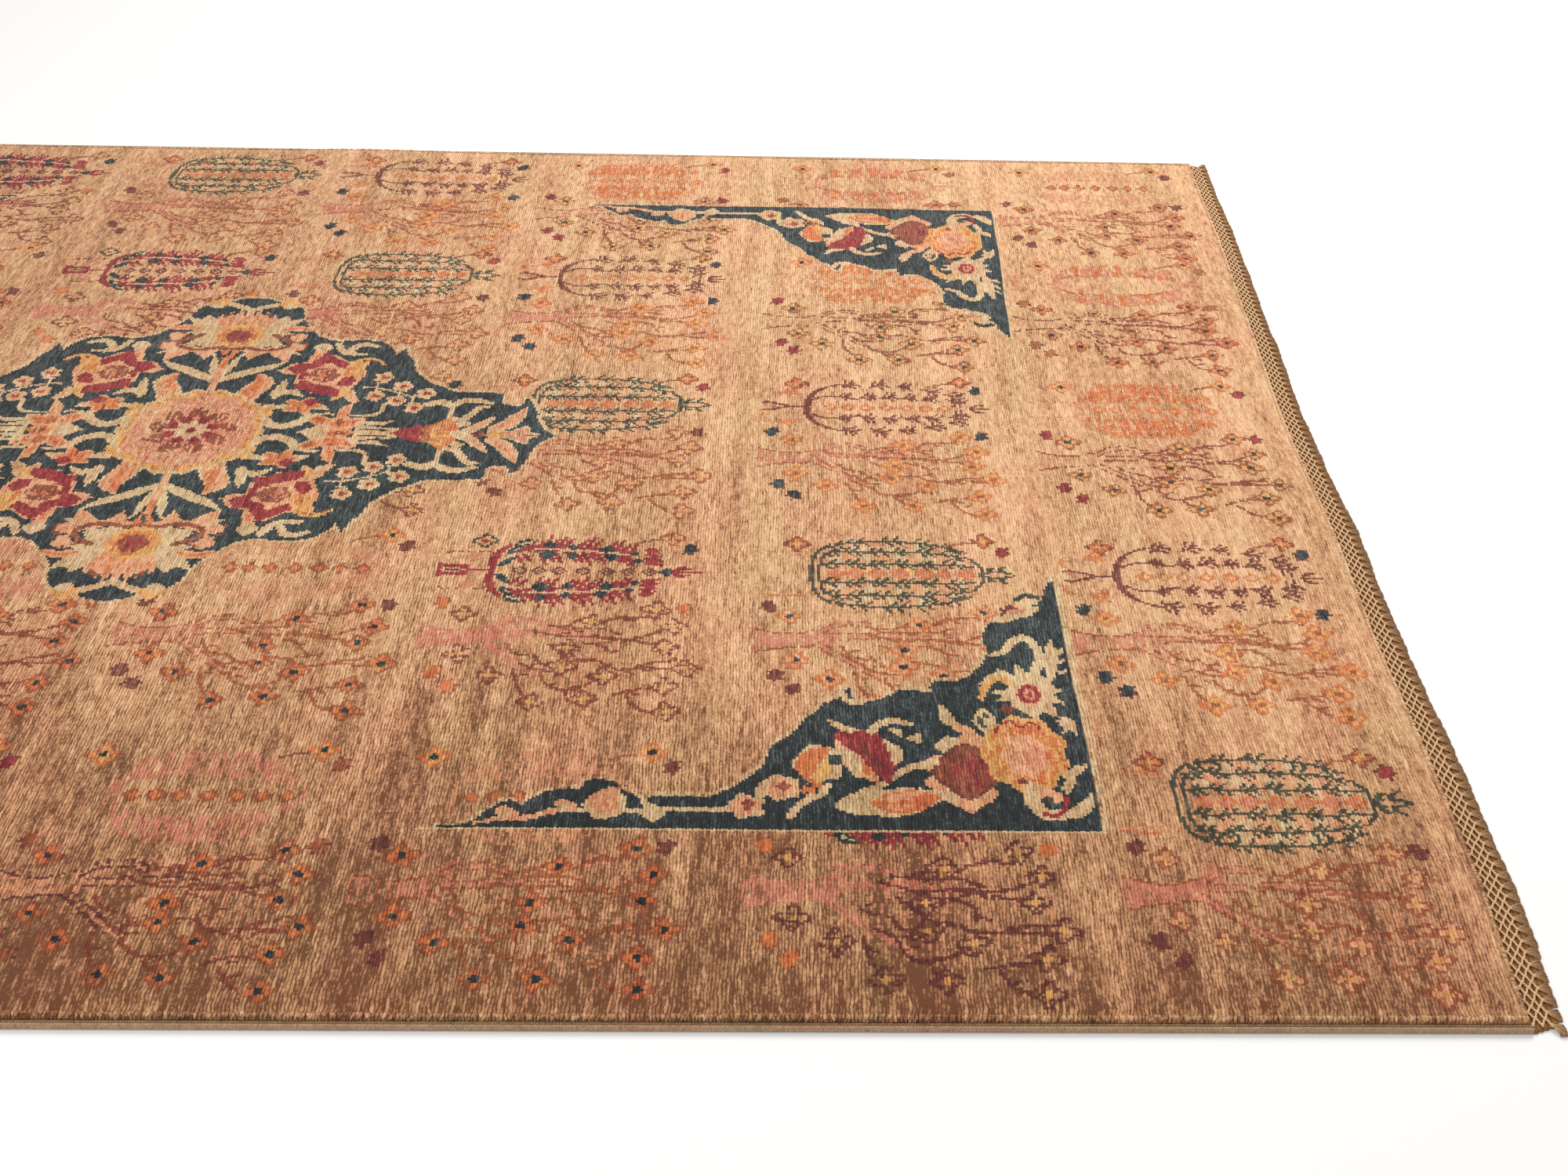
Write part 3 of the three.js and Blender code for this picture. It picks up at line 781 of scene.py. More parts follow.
def half_palmette(place):
    """Right half of a palmette: cream body, peach scallops with a brown edge, peach petals and a red eye."""
    fill(place, "cream", [
        (0, 232), (40, 234), (68, 246), (58, 264), (72, 278), (68, 290), (86, 328), (66, 322), (58, 336),
        (42, 320), (0, 304),
    ])
    fill(place, "peach", [
        (2, 226), (20, 222), (32, 196), (40, 210), (54, 222), (62, 212), (86, 194), (90, 212), (86, 224),
        (103, 230), (103, 246), (84, 252), (68, 242), (40, 232),
    ])
    fill(place, "peach", [(68, 280), (84, 253), (95, 256), (101, 274), (88, 282)])
    leaf(place, "cream", [(40, 252), (84, 226), (100, 216)], 8)
    rimmed_leaf(place, "orange", "peach", [(62, 292), (84, 296), (106, 288)], 6, 10)
    brown_edge = [(0, 230), (14, 235), (30, 231), (46, 227), (64, 231), (79, 243), (73, 258), (52, 273)]
    line(place, "brown", brown_edge, 9, ends=(1, 1))
    line(place, "brown", [(73, 258), (68, 270), (84, 280)], 5, 0.8)
    line(place, "brown", [(103, 228), (104, 248), (94, 252)], LINE, 0.7)
    for u, lift in ((2, 348), (14, 354), (26, 346), (40, 336)):
        leaf(place, "peach", [(u * 0.5, 282), (u * 0.85, 316), (u, lift)], 15)
        leaf(place, "orange", [(u * 0.5, 290), (u * 0.8, 312), (u * 0.9, lift - 14)], 6, 0.35)
    line(place, "brown", [(26, 340), (34, 330)], 6)
    bloom(place, 0, 270, "gold", 34, 9, 0.1)
    bloom(place, 0, 270, "orange", 27, 9, 0.1, share=0.8)
    bloom(place, 0, 270, "brown", 19, 6, 0.08)
    bloom(place, 0, 270, "red", 11, 6, 0.1, share=0.6)


def rose_head(place):
    """A rose from above: separate blocks of red around a mottled heart, with gold, peach and cream sepals."""
    fill(place, "peach", [
        (84, 172), (100, 164), (111, 155), (111, 133), (117, 114), (132, 114), (140, 104), (168, 100),
        (178, 112), (192, 120), (199, 141), (206, 161), (201, 181), (206, 196), (190, 204), (174, 198),
        (152, 219), (132, 219), (124, 193), (106, 192), (94, 186),
    ])
    fill(place, "cream", [
        (168, 104), (170, 84), (180, 90), (185, 100), (190, 88), (204, 80), (212, 84), (203, 100),
        (199, 114), (186, 124),
    ])
    leaf(place, "gold", [(176, 92), (184, 108), (182, 122)], 14, 0.8)
    leaf(place, "peach", [(206, 84), (196, 100), (190, 116)], 8)
    fill(place, "gold", [
        (166, 161), (178, 153), (190, 158), (198, 166), (200, 186), (206, 201), (190, 202), (178, 194),
        (168, 188), (176, 176),
    ])
    fill(place, "orange", [(172, 156), (184, 156), (190, 176), (180, 186)], 0.7)
    line(place, "gold", [(182, 194), (196, 204), (214, 204), (227, 192)], 10, ends=(1, 0.4))
    line(place, "brown", [(194, 200), (208, 203), (220, 196)], LINE, 0.8)
    line(place, "peach", [(127, 168), (125, 196), (129, 228)], 17, ends=(0.7, 1))
    line(place, "orange", [(126, 176), (126, 196), (129, 218)], 6, 0.7)
    bloom(place, 131, 238, "cream", 13, 4, 0.08)
    leaf(place, "peach", [(112, 166), (98, 162), (82, 168)], 13)
    fill(place, "red", [
        (114, 117), (131, 114), (136, 108), (160, 100), (177, 98), (178, 115), (162, 125), (143, 131),
        (134, 143), (117, 142),
    ])
    fill(place, "red", [(168, 126), (186, 126), (195, 144), (186, 157), (173, 149)])
    fill(place, "red", [(92, 172), (109, 158), (121, 165), (120, 189), (104, 192)])
    fill(place, "red", [(113, 144), (128, 142), (129, 162), (115, 164)])
    fill(place, "red", [
        (122, 174), (137, 177), (143, 191), (150, 193), (160, 184), (174, 177), (176, 194), (158, 208),
        (140, 223), (131, 206), (122, 191),
    ])
    bloom(place, 147, 157, "peach", 25, 7, 0.06)
    bloom(place, 147, 157, "brown", 21, 6, 0.08)
    bloom(place, 147, 157, "rose", 17, 5, 0.25, share=0.4)
    bloom(place, 147, 155, "orange", 6, 4, 0.2, share=0.7)
    line(place, "peach", [(130, 142), (150, 136), (166, 140)], LINE)


def berries(place, spots, stem):
    """Round berries on short stalks from the nearest point of one stem, with a pair of small leaves each."""
    line(place, "cream", stem)
    for u, v in spots:
        near = min(stem, key=lambda p: (p[0] - u) ** 2 + (p[1] - v) ** 2)
        line(place, "cream", [near, (u, v)])
        half_u, half_v = (near[0] + u) / 2, (near[1] + v) / 2
        for side in (-7, 7):
            leaf(place, "cream", [(half_u + side, half_v), (half_u, half_v)], 6)
        bloom(place, u, v, "cream", 13.5, 5, 0.14, tall=1.05)
        bloom(place, u, v, "peach", 9, 3, 0.1, tall=1.1)
        bloom(place, u, v, "brown", 5, 3, 0.2)


def medallion_quarter(place):
    """Everything in the upper right quarter but the rosette, drawn in the order in which it overlaps."""
    half_palmette(place)
    # Pale V and gold lobes over the tip
    line(place, "cream", [(0, 352), (12, 360), (36, 372)], 12)
    bloom(place, 50, 374, "gold", 15, 4, 0.2)
    bloom(place, 56, 366, "cream", 9, 3, 0.2)
    # Leaves round the rosette and the stem to the palmette
    line(place, "cream", [(3, 136), (22, 150), (50, 168), (68, 178), (88, 196)], 17, ends=(0.7, 0.15))
    leaf(place, "cream", [(6, 150), (12, 180), (20, 216)], 13)
    line(place, "peach", [(0, 108), (1, 150), (2, 200)], 8)
    line(place, "orange", [(0, 176), (3, 204), (8, 224)], 9, 0.8)
    rimmed_leaf(place, "peach", "cream", [(58, 76), (56, 104), (68, 130), (58, 156)], 30, 6)
    leaf(place, "orange", [(56, 80), (56, 106), (62, 130), (57, 150)], 18, 0.75)
    leaf(place, "cream", [(92, 92), (96, 112), (98, 142)], 17)
    leaf(place, "cream", [(92, 100), (112, 108), (130, 96)], 14)
    # Gold shoulder beside the rosette
    for v in (62, 44, 26):
        leaf(place, "gold", [(78, v * 0.8), (88, v), (98, v + 4)], 20)
        leaf(place, "cream", [(86, v * 0.7), (96, v * 0.8)], 9)
    # Small star flower between pointed leaves
    leaf(place, "cream", [(88, 66), (104, 66), (120, 70)], 12)
    leaf(place, "cream", [(140, 66), (156, 68), (172, 62)], 15)
    bloom(place, 136, 70, "peach", 24, 5, 0.25, tall=0.85)
    bloom(place, 134, 70, "orange", 18, 5, 0.3, tall=0.9)
    bloom(place, 145, 80, "red", 9, 4, 0.1)
    line(place, "brown", [(132, 56), (134, 66)], 5)
    # Rose on the diagonal
    rose_head(place)
    # Half of the lotus and its rays
    line(place, "cream", [(94, 30), (104, 18), (120, 14), (138, 24), (150, 42)], 15)
    fill(place, "cream", [(142, 0), (160, 14), (176, 22), (184, 0)])
    for route, width in (
        ([(184, 14), (170, 30), (154, 40)], 26),
        ([(196, 14), (196, 30), (198, 44)], 26),
        ([(204, 12), (214, 28), (226, 38)], 22),
    ):
        leaf(place, "peach", route, width)
    for route, width in (
        ([(176, 24), (166, 34), (160, 38)], 13),
        ([(190, 12), (194, 24), (198, 36)], 17),
        ([(206, 18), (214, 28), (222, 34)], 10),
    ):
        leaf(place, "orange", route, width + 3, 0.8)
        leaf(place, "russet", route, width - 5, 0.5)
    leaf(place, "peach", [(194, 40), (196, 58), (202, 78)], 17)
    leaf(place, "orange", [(195, 42), (197, 56), (200, 68)], 8, 0.6)
    line(place, "cream", [(150, 44), (170, 50), (182, 48)], 5)
    line(place, "cream", [(206, 46), (228, 46), (242, 52), (247, 66), (248, 80)], 7, ends=(0.6, 1))
    fill(place, "cream", [
        (218, 0), (218, 30), (236, 30), (252, 30), (272, 36), (256, 22), (244, 18), (262, 15), (278, 14),
        (276, 4), (276, 0),
    ])
    line(place, "indigo", [(232, 22), (244, 18), (254, 15)], LINE, 0.9)
    line(place, "indigo", [(228, 8), (244, 8), (262, 7)], LINE, 0.9)
    bloom(place, 184, 0, "cream", 22, 4, 0.1, tall=0.7)
    bloom(place, 198, 0, "peach", 20, 6, 0.14, tall=0.8)
    bloom(place, 200, 2, "orange", 15, 4, 0.1, tall=0.8, share=0.7)
    bloom(place, 200, 2, "brown", 8, 4, 0.1, tall=0.7, share=0.8)
    # Tulip on the long axis
    fill(place, "orange", [
        (300, 0), (302, 16), (322, 24), (334, 34), (346, 50), (350, 34), (356, 24), (360, 10), (356, 0),
    ])
    for v in (6, 18, 30):
        leaf(place, "gold", [(306, v * 0.4), (326, v * 0.7), (346, v)], 8, 0.75)
    leaf(place, "peach", [(310, 6), (330, 14), (348, 24)], 8, 0.6)
    fill(place, "russet", [(296, 0), (298, 18), (318, 24), (326, 14), (322, 0)], 0.7)
    fill(place, "red", [(268, 0), (284, 12), (300, 20), (312, 20), (308, 8), (314, 0)])
    # Arabesque leaves beside it and the flower of the tip
    line(place, "cream", [(341, 46), (341, 62), (340, 78)], 9)
    line(place, "cream", [(340, 74), (326, 86), (306, 79)], 16, ends=(0.5, 0.8))
    line(place, "cream", [(341, 74), (352, 88), (372, 92), (392, 84)], 14, ends=(0.5, 0.6))
    line(place, "cream", [(349, 39), (362, 42), (372, 58), (380, 72), (392, 74)], 12, ends=(0.8, 0.6))
    bloom(place, 362, 27, "cream", 9.5, 3, 0.1, tall=0.9)
    bloom(place, 362, 40, "cream", 6, 3, 0.1)
    line(place, "cream", [(354, 0), (370, 8), (388, 26), (403, 46)], 18, ends=(0.8, 0.3))
    leaf(place, "peach", [(374, 10), (390, 26), (400, 40)], 8)
    bloom(place, 387, 0, "brown", 9, 4, 0.1, share=0.6)
    rimmed_leaf(place, "peach", "cream", [(402, 14), (422, 26), (434, 46), (446, 72)], 16, 8)
    leaf(place, "rose", [(410, 20), (424, 32), (436, 54)], 8, 0.7)
    fill(place, "cream", [(396, 0), (400, 9), (430, 11), (450, 24), (458, 20), (458, 8), (472, 3), (472, 0)])
    fill(place, "rose", [(402, 0), (404, 6), (432, 8), (449, 19), (453, 15), (452, 0)], 0.85)
    leaf(place, "gold", [(398, 0), (410, 0), (424, 0)], 13)
    line(place, "brown", [(452, 0), (468, 0)], LINE)
    # Berry sprays and scrolls that fill the edge
    stem = [(208, 124), (226, 124), (246, 118), (264, 110), (282, 98)]
    berries(place, [(233, 154), (264, 130), (299, 110), (230, 101), (261, 88), (289, 69)], stem)
    line(place, "cream", [(151, 249), (158, 232), (170, 222), (194, 220)], 12, ends=(0.9, 0.7))
    line(place, "cream", [(170, 230), (178, 246), (192, 251), (206, 245)], 12, ends=(0.9, 0.7))


for flip_x in (1, -1):
    for flip_y in (1, -1):
        medallion_quarter(set_out(0, 0, flip_x=flip_x, flip_y=flip_y, within=middle))
# Rosette: mottled rings from the rim inwards, a wheel of brown leaves, and a ring of red dots round the heart
for wool, reach, petals, depth, share in (
    ("cream", 98, 18, 0.03, 1.0), ("gold", 93, 18, 0.04, 1.0), ("orange", 92, 18, 0.04, 0.25),
    ("peach", 85, 12, 0.06, 1.0), ("rose", 82, 12, 0.08, 0.55), ("cream", 80, 12, 0.1, 0.12),
):
    petalled(middle, wool, reach, petals, depth, 1.12, share)
for k in range(9):
    leaf(set_out(0, 0, 40 * k + 6, within=middle), "brown", [(26, -2), (42, 4), (60, -3)], 24, 0.85)
    leaf(set_out(0, 0, 40 * k + 28, within=middle), "rose", [(30, 3), (46, 8), (58, 2)], 9, 0.8)
petalled(middle, "rose", 33, 8, 0.1)
for k in range(8):
    bloom(set_out(0, 0, 45 * k + 22, within=middle), 28, 0, "red", 8.5)
petalled(middle, "cream", 21, 8, 0.3)
petalled(middle, "red", 6.5, 5, 0.2)


# Corner spandrels: a quarter of such a medallion in each corner of the field, in the same indigo.
# The outer sides are straight. The inner side steps down in lobes and hooks to a long thin tail.
# Sizes run inwards from the corner: along the tail, then up the short side.
SPANDREL_EDGE = [
    (0, 0, 0), (0, 452, 0), (14, 430, 0), (26, 400, -3), (60, 362, 3), (86, 358, 3), (90, 310, 6),
    (132, 248, -8), (158, 250, 0), (166, 228, 0), (200, 230, 3), (248, 206, -4), (254, 236, 0),
    (268, 216, 2), (284, 206, 0), (304, 182, -3), (332, 142, -4), (346, 108, 3), (370, 76, -3),
    (408, 48, -3), (460, 48, 0), (473, 39, 2), (480, 47, 0), (500, 60, 0), (508, 72, 2), (534, 72, 2),
    (538, 58, 0), (570, 56, 3), (596, 32, 4), (614, 40, 3), (648, 4, 2), (678, 0, 0),
]
SPANDREL_CORNERS = [(1129, -745, -1, 1), (1131, 788, -1, -1), (-1129, -745, 1, 1), (-1131, 788, 1, -1)]


def spandrel_flowers(place):
    """The two large flowers that overlap in the middle, and the cream palmette above them."""
    # Rust flower with separate pale scallops round it
    for (u, v), wool in (
        ((124, 142), "peach"), ((148, 134), "cream"), ((163, 102), "peach"), ((162, 74), "peach"),
        ((146, 52), "cream"), ((117, 56), "peach"), ((132, 42), "peach"), ((130, 128), "blush"),
    ):
        bloom(place, u, v, wool, 15, 4, 0.1)
    bloom(place, 132, 92, "maroon", 36, 4, 0.08, tall=1.2)
    bloom(place, 131, 92, "brown", 32, 4, 0.1, tall=1.2)
    bloom(place, 124, 92, "red", 22, 4, 0.1, tall=1.2, share=0.35)
    line(place, "maroon", [(122, 158), (134, 157)], LINE)
    # Gold rosette
    bloom(place, 68, 122, "gold", 46, 9, 0.06, tall=1.36)
    bloom(place, 68, 122, "orange", 42, 9, 0.1, tall=1.3, share=0.4)
    bloom(place, 68, 118, "peach", 25, 7, 0.1, tall=1.45)
    bloom(place, 68, 118, "rose", 20, 6, 0.12, tall=1.4, share=0.3)
    line(place, "red", [(46, 164), (56, 174), (68, 166), (78, 176), (92, 168), (96, 158)], LINE)
    line(place, "orange", [(40, 150), (52, 160), (64, 152), (78, 162), (92, 150)], LINE)
    bloom(place, 75, 76, "maroon", 5)
    # Cream palmette with a red eye
    for tip, width in (
        ((84, 272), 16), ((60, 278), 15), ((22, 256), 15), ((14, 232), 13), ((16, 208), 14), ((24, 184), 17),
        ((48, 180), 16), ((88, 214), 13), ((92, 228), 12),
    ):
        leaf(place, "cream", [(52, 226), ((52 + tip[0]) / 2, (226 + tip[1]) / 2), tip], width)
    bloom(place, 50, 226, "cream", 28, 9, 0.07, tall=1.35)
    line(place, "cream", [(66, 254), (80, 262), (94, 256), (92, 246)], 7)
    bloom(place, 52, 224, "peach", 15, tall=1.4)
    bloom(place, 52, 224, "red", 12.5, 6, 0.06, tall=1.4)
    bloom(place, 52, 224, "rose", 7, tall=1.5)
    bloom(place, 52, 223, "red", 2.8, tall=1.5)
    line(place, "gold", [(70, 246), (86, 254), (100, 240), (108, 216)], 13, ends=(0.8, 0.5))
    line(place, "cream", [(72, 254), (90, 260), (106, 244)], LINE)
    bloom(place, 80, 197, "maroon", 9, 4, 0.15)
    # Dull mottled leaf between them
    bloom(place, 108, 178, "cream", 12, 4, 0.1, tall=1.7)
    bloom(place, 108, 178, "teal", 8, 4, 0.1, tall=1.7, share=0.45)


def spandrel(place):
    """The pale outline, the indigo ground and all that lies on it."""
    edge = scalloped(SPANDREL_EDGE)
    line(place, "cream", edge, 11, 0.7)
    line(place, "cream", [(700, -4), (-4, -4)], LINE)
    line(place, "cream", [(-4, -4), (-4, 456)], LINE)
    fill(place, "indigo", edge)
    spandrel_flowers(place)
    # Scroll over the palmette and the serrated leaf up the short side
    line(place, "cream", [
        (86, 298), (70, 306), (62, 322), (48, 332), (36, 318), (34, 288), (44, 256),
    ], 12, ends=(0.6, 1))
    leaf(place, "cream", [(24, 254), (20, 290), (16, 326)], 17)
    for v in (268, 288, 306):
        leaf(place, "cream", [(18, v), (10, v - 4), (4, v + 4)], 6)
    leaf(place, "cream", [(20, 184), (12, 172), (8, 154)], 11)
    leaf(place, "cream", [(26, 178), (18, 168), (22, 156)], 7)
    # Stem, and the long leaf with an orange heart
    line(place, "cream", [(166, 106), (190, 98), (212, 82), (228, 66), (244, 58)], 10.5, ends=(1, 1))
    leaf(place, "cream", [(170, 52), (206, 42), (240, 40), (272, 35)], 44)
    leaf(place, "orange", [(174, 48), (204, 42), (236, 40)], 34)
    leaf(place, "peach", [(184, 58), (206, 50), (226, 46)], 12)
    leaf(place, "peach", [(190, 34), (212, 34), (228, 38)], 9, 0.7)
    # Leaves above the rust flower
    leaf(place, "cream", [(140, 168), (150, 184), (154, 204)], 15)
    leaf(place, "peach", [(122, 158), (134, 164), (146, 170)], 13)
    bloom(place, 184, 147, "cream", 8, 3, 0.35)
    # Curls in the corner
    line(place, "cream", [(66, 66), (68, 44), (58, 26), (40, 24)], 17)
    leaf(place, "peach", [(56, 62), (48, 52), (36, 52)], 20)
    line(place, "red", [(58, 26), (44, 22), (34, 34), (32, 48)], 6)
    bloom(place, 51, 46, "teal", 5.5)
    leaf(place, "cream", [(30, 24), (16, 32), (4, 56)], 17)
    leaf(place, "cream", [(30, 58), (26, 72), (20, 80)], 12)
    leaf(place, "cream", [(28, 86), (16, 92), (6, 102)], 13)
    # Red tulip, its peach side, leaf tips and curls
    leaf(place, "peach", [(268, 148), (258, 116), (244, 96), (230, 74)], 26)
    leaf(place, "orange", [(256, 116), (246, 100), (234, 84)], 12)
    leaf(place, "red", [(262, 150), (240, 140), (224, 112), (218, 74)], 40)
    bloom(place, 250, 144, "red", 17, 4, 0.1)
    leaf(place, "maroon", [(256, 146), (236, 120), (222, 88)], 9, 0.45)
    leaf(place, "cream", [(248, 160), (264, 164), (278, 178)], 11)
    line(place, "cream", [(233, 158), (222, 172), (204, 176), (188, 170)], 11, ends=(1, 0.6))
    leaf(place, "cream", [(212, 162), (204, 158), (200, 150)], 8)
    leaf(place, "cream", [(208, 106), (206, 122), (218, 142)], 15)
    # Orange and gold bud
    bloom(place, 290, 104, "cream", 27, 5, 0.08, tall=1.15)
    leaf(place, "cream", [(268, 128), (254, 108), (252, 84)], 18)
    leaf(place, "orange", [(284, 126), (302, 108), (304, 76)], 24)
    leaf(place, "gold", [(282, 104), (288, 88), (296, 66)], 17)
    bloom(place, 296, 62, "orange", 14, 4, 0.15, share=0.8)
    leaf(place, "cream", [(280, 70), (288, 54), (304, 44)], 10)
    fill(place, "indigo", [(267, 103), (281, 103), (281, 118), (267, 118)])
    line(place, "cream", [(296, 52), (310, 38), (322, 20)], 10, ends=(0.8, 0.9))
    # Flowers down the tail, on one wavy vine
    line(place, "cream", [
        (344, 60), (368, 34), (400, 28), (440, 28), (466, 26), (494, 26), (530, 26), (566, 24),
    ], 8)
    line(place, "peach", [(562, 24), (592, 13), (618, 12), (642, 5)], 8, ends=(1, 0.5))
    for u, v, reach in ((330, 64, 20), (366, 34, 19)):
        bloom(place, u, v, "cream", reach, 5, 0.12)
        bloom(place, u, v, "peach", 0.75 * reach, 4, 0.15)
        bloom(place, u - 2, v + 3, "brown", 7, 4, 0.15)
    leaf(place, "cream", [(352, 50), (350, 64), (342, 78)], 11)
    leaf(place, "cream", [(464, 26), (470, 34), (474, 44)], 9)
    bloom(place, 462, 22, "cream", 12, 4, 0.15)
    bloom(place, 511, 34, "cream", 22, 5, 0.06)
    bloom(place, 511, 40, "peach", 17, 3, 0.12, tall=1.2)
    line(place, "rose", [(511, 30), (512, 50)], LINE)
    for u, v in ((552, 34), (612, 22)):
        leaf(place, "peach", [(u - 10, v - 8), (u, v), (u + 10, v + 3)], 15)
        leaf(place, "cream", [(u + 8, v - 8), (u + 2, v - 4), (u - 6, v - 2)], 8)
    # Pale curls that bite into the edge
    line(place, "cream", [(166, 232), (180, 236), (190, 244)], 9)
    line(place, "cream", [(240, 210), (256, 212), (262, 224)], 9)
    leaf(place, "cream", [(28, 392), (46, 380), (66, 376)], 19)
    leaf(place, "rose", [(40, 388), (52, 384), (62, 382)], 9)
    line(place, "indigo", [(24, 414), (38, 418), (50, 408)], 9, ends=(1, 0.6))


for corner_x, corner_y, flip_x, flip_y in SPANDREL_CORNERS:
    spandrel(set_out(corner_x, corner_y, flip_x=flip_x, flip_y=flip_y))

# Dyed pile: the knots of each coloured wool, a fifth of a millimetre proud of the camel rows they sit in.
# Each wool is one piece, made from the chart run by run, on the same furrow and crest lines as the rug body.
PROUD, RAGGED = 0.2, 1.1
# Slot, then the colours of the furrow, as painted shade, of the rib's side, and of the clipped tips, as painted
# light
DYES = {
    "indigo": ("indigo_wool_pile", "#0d0d0a", "#272f33", "#646e72"),
    "cream": ("cream_wool_pile", "#8a6a48", "#d0ae87", "#f2dcba"),
    "peach": ("peach_wool_pile", "#99603f", "#d99c76", "#f6c7a4"),
    "rose": ("pink_wool_pile", "#8a4c38", "#cb8068", "#ecb096"),
    "orange": ("orange_wool_pile", "#8c4322", "#cf7443", "#eda273"),
    "red": ("red_wool_pile", "#4d0f17", "#912b31", "#c2605c"),
    "maroon": ("maroon_wool_pile", "#451d1a", "#71382f", "#ab735f"),
    "teal": ("teal_wool_pile", "#211d15", "#444537", "#837a61"),
    "brown": ("brown_wool_pile", "#542318", "#8c4733", "#b87a5f"),
    "russet": ("brown_wool_pile", "#64301a", "#a25b3a", "#ca8c65"),
    "gold": ("gold_wool_pile", "#96632e", "#d89e5d", "#f2c88d"),
    "blush": ("pink_wool_pile", "#8d573c", "#cf916c", "#f0bf9b"),
}
every_knot = np.arange(KNOTS + 1)
mark_below = np.clip(np.searchsorted(marks, every_knot, side="right") - 1, 0, len(marks) - 2)
part_way = ((every_knot - marks[mark_below]) / (marks[mark_below + 1] - marks[mark_below]))[None, :, None]
knot_points = top_points[:, mark_below] * (1 - part_way) + top_points[:, mark_below + 1] * part_way
knot_points[..., 1] += rng.uniform(-RAGGED, RAGGED, knot_points.shape[:2])
is_mark = np.isin(every_knot, marks)


def dyed_knots(wool_name):
    """Furrow, crest and furrow of each run of knots in this wool, as two quads a run."""
    mask = chart == WOOLS.index(wool_name)
    before = np.pad(mask, ((0, 0), (1, 0)))[:, :-1] & ~is_mark[:-1]
    after = np.pad(mask, ((0, 0), (0, 1)))[:, 1:] & ~is_mark[1:]
    row, start = np.nonzero(mask & ~before)
    stop = np.nonzero(mask & ~after)[1] + 1
    corner = [[(2 * row + step) * (KNOTS + 1) + side for side in (start, stop)] for step in range(3)]
    quads = np.concatenate([
        np.stack([corner[step][0], corner[step + 1][0], corner[step + 1][1], corner[step][1]], axis=-1)
        for step in range(2)
    ])
    used, corners = np.unique(quads, return_inverse=True)
    points = knot_points.reshape(-1, 3)[used] + [0, 0, PROUD]
    places = np.stack([used // (KNOTS + 1) / 2, used % (KNOTS + 1), np.zeros(len(used))], axis=-1)
    return points, corners.ravel(), np.full(len(quads), 4), places


for wool_name, (slot, furrow, middle_tone, tip) in DYES.items():
    material = pile_wool(wool_name + "_wool_pile", furrow, middle_tone, tip, contrast=0.95, uneven_dye_and_painted_light=0.5)
    points, corners, sizes, places = dyed_knots(wool_name)
    piece = woven_mesh(wool_name + "_knots", points, corners, sizes, material, places)
    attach(piece, "root")

# Rim of the pile: the last tuft of every row, and of every knot at the ends, leans out over the edge.
# They are cut longer and catch the light, so the edge looks ragged. Their wool is also painted lighter than the
# pile, as a painted highlight along the rim.
TUFT_POINTS = 13


def tufts(foot, way, long, wide, drop):
    """Tapering wool tufts as points and faces: a square foot, a wider middle and a point that hangs down."""
    count = len(foot)
    up = np.tile([0, 0, 1.0], (count, 1))
    side = np.stack([-way[:, 1], way[:, 0], np.zeros(count)], axis=-1)
    rings = []
    for share, width, fall in ((0, 0.8, 0.0), (0.55, 1.0, 0.25), (0.95, 0.6, 0.8)):
        centre = foot + way * (long * share)[:, None] - up * (drop * fall)[:, None]
        for s, u in ((-1, -1), (1, -1), (1, 1), (-1, 1)):
            half = (wide * width / 2)[:, None]
            rings.append(centre + side * s * half + up * u * half)
    rings.append(foot + way * (long * 1.1)[:, None] - up * (drop * 1.2)[:, None])
    points = np.stack(rings, axis=1)
    faces = [(3, 2, 1, 0)]
    for low in (0, 4):
        faces += [(low + k, low + (k + 1) % 4, low + 4 + (k + 1) % 4, low + 4 + k) for k in range(4)]
    faces += [(8 + k, 8 + (k + 1) % 4, 12) for k in range(4)]
    one = np.concatenate([np.array(face) for face in faces])
    corners = (one[None, :] + TUFT_POINTS * np.arange(count)[:, None]).ravel()
    sizes = np.tile([len(face) for face in faces], count)
    return points.reshape(-1, 3), corners, sizes


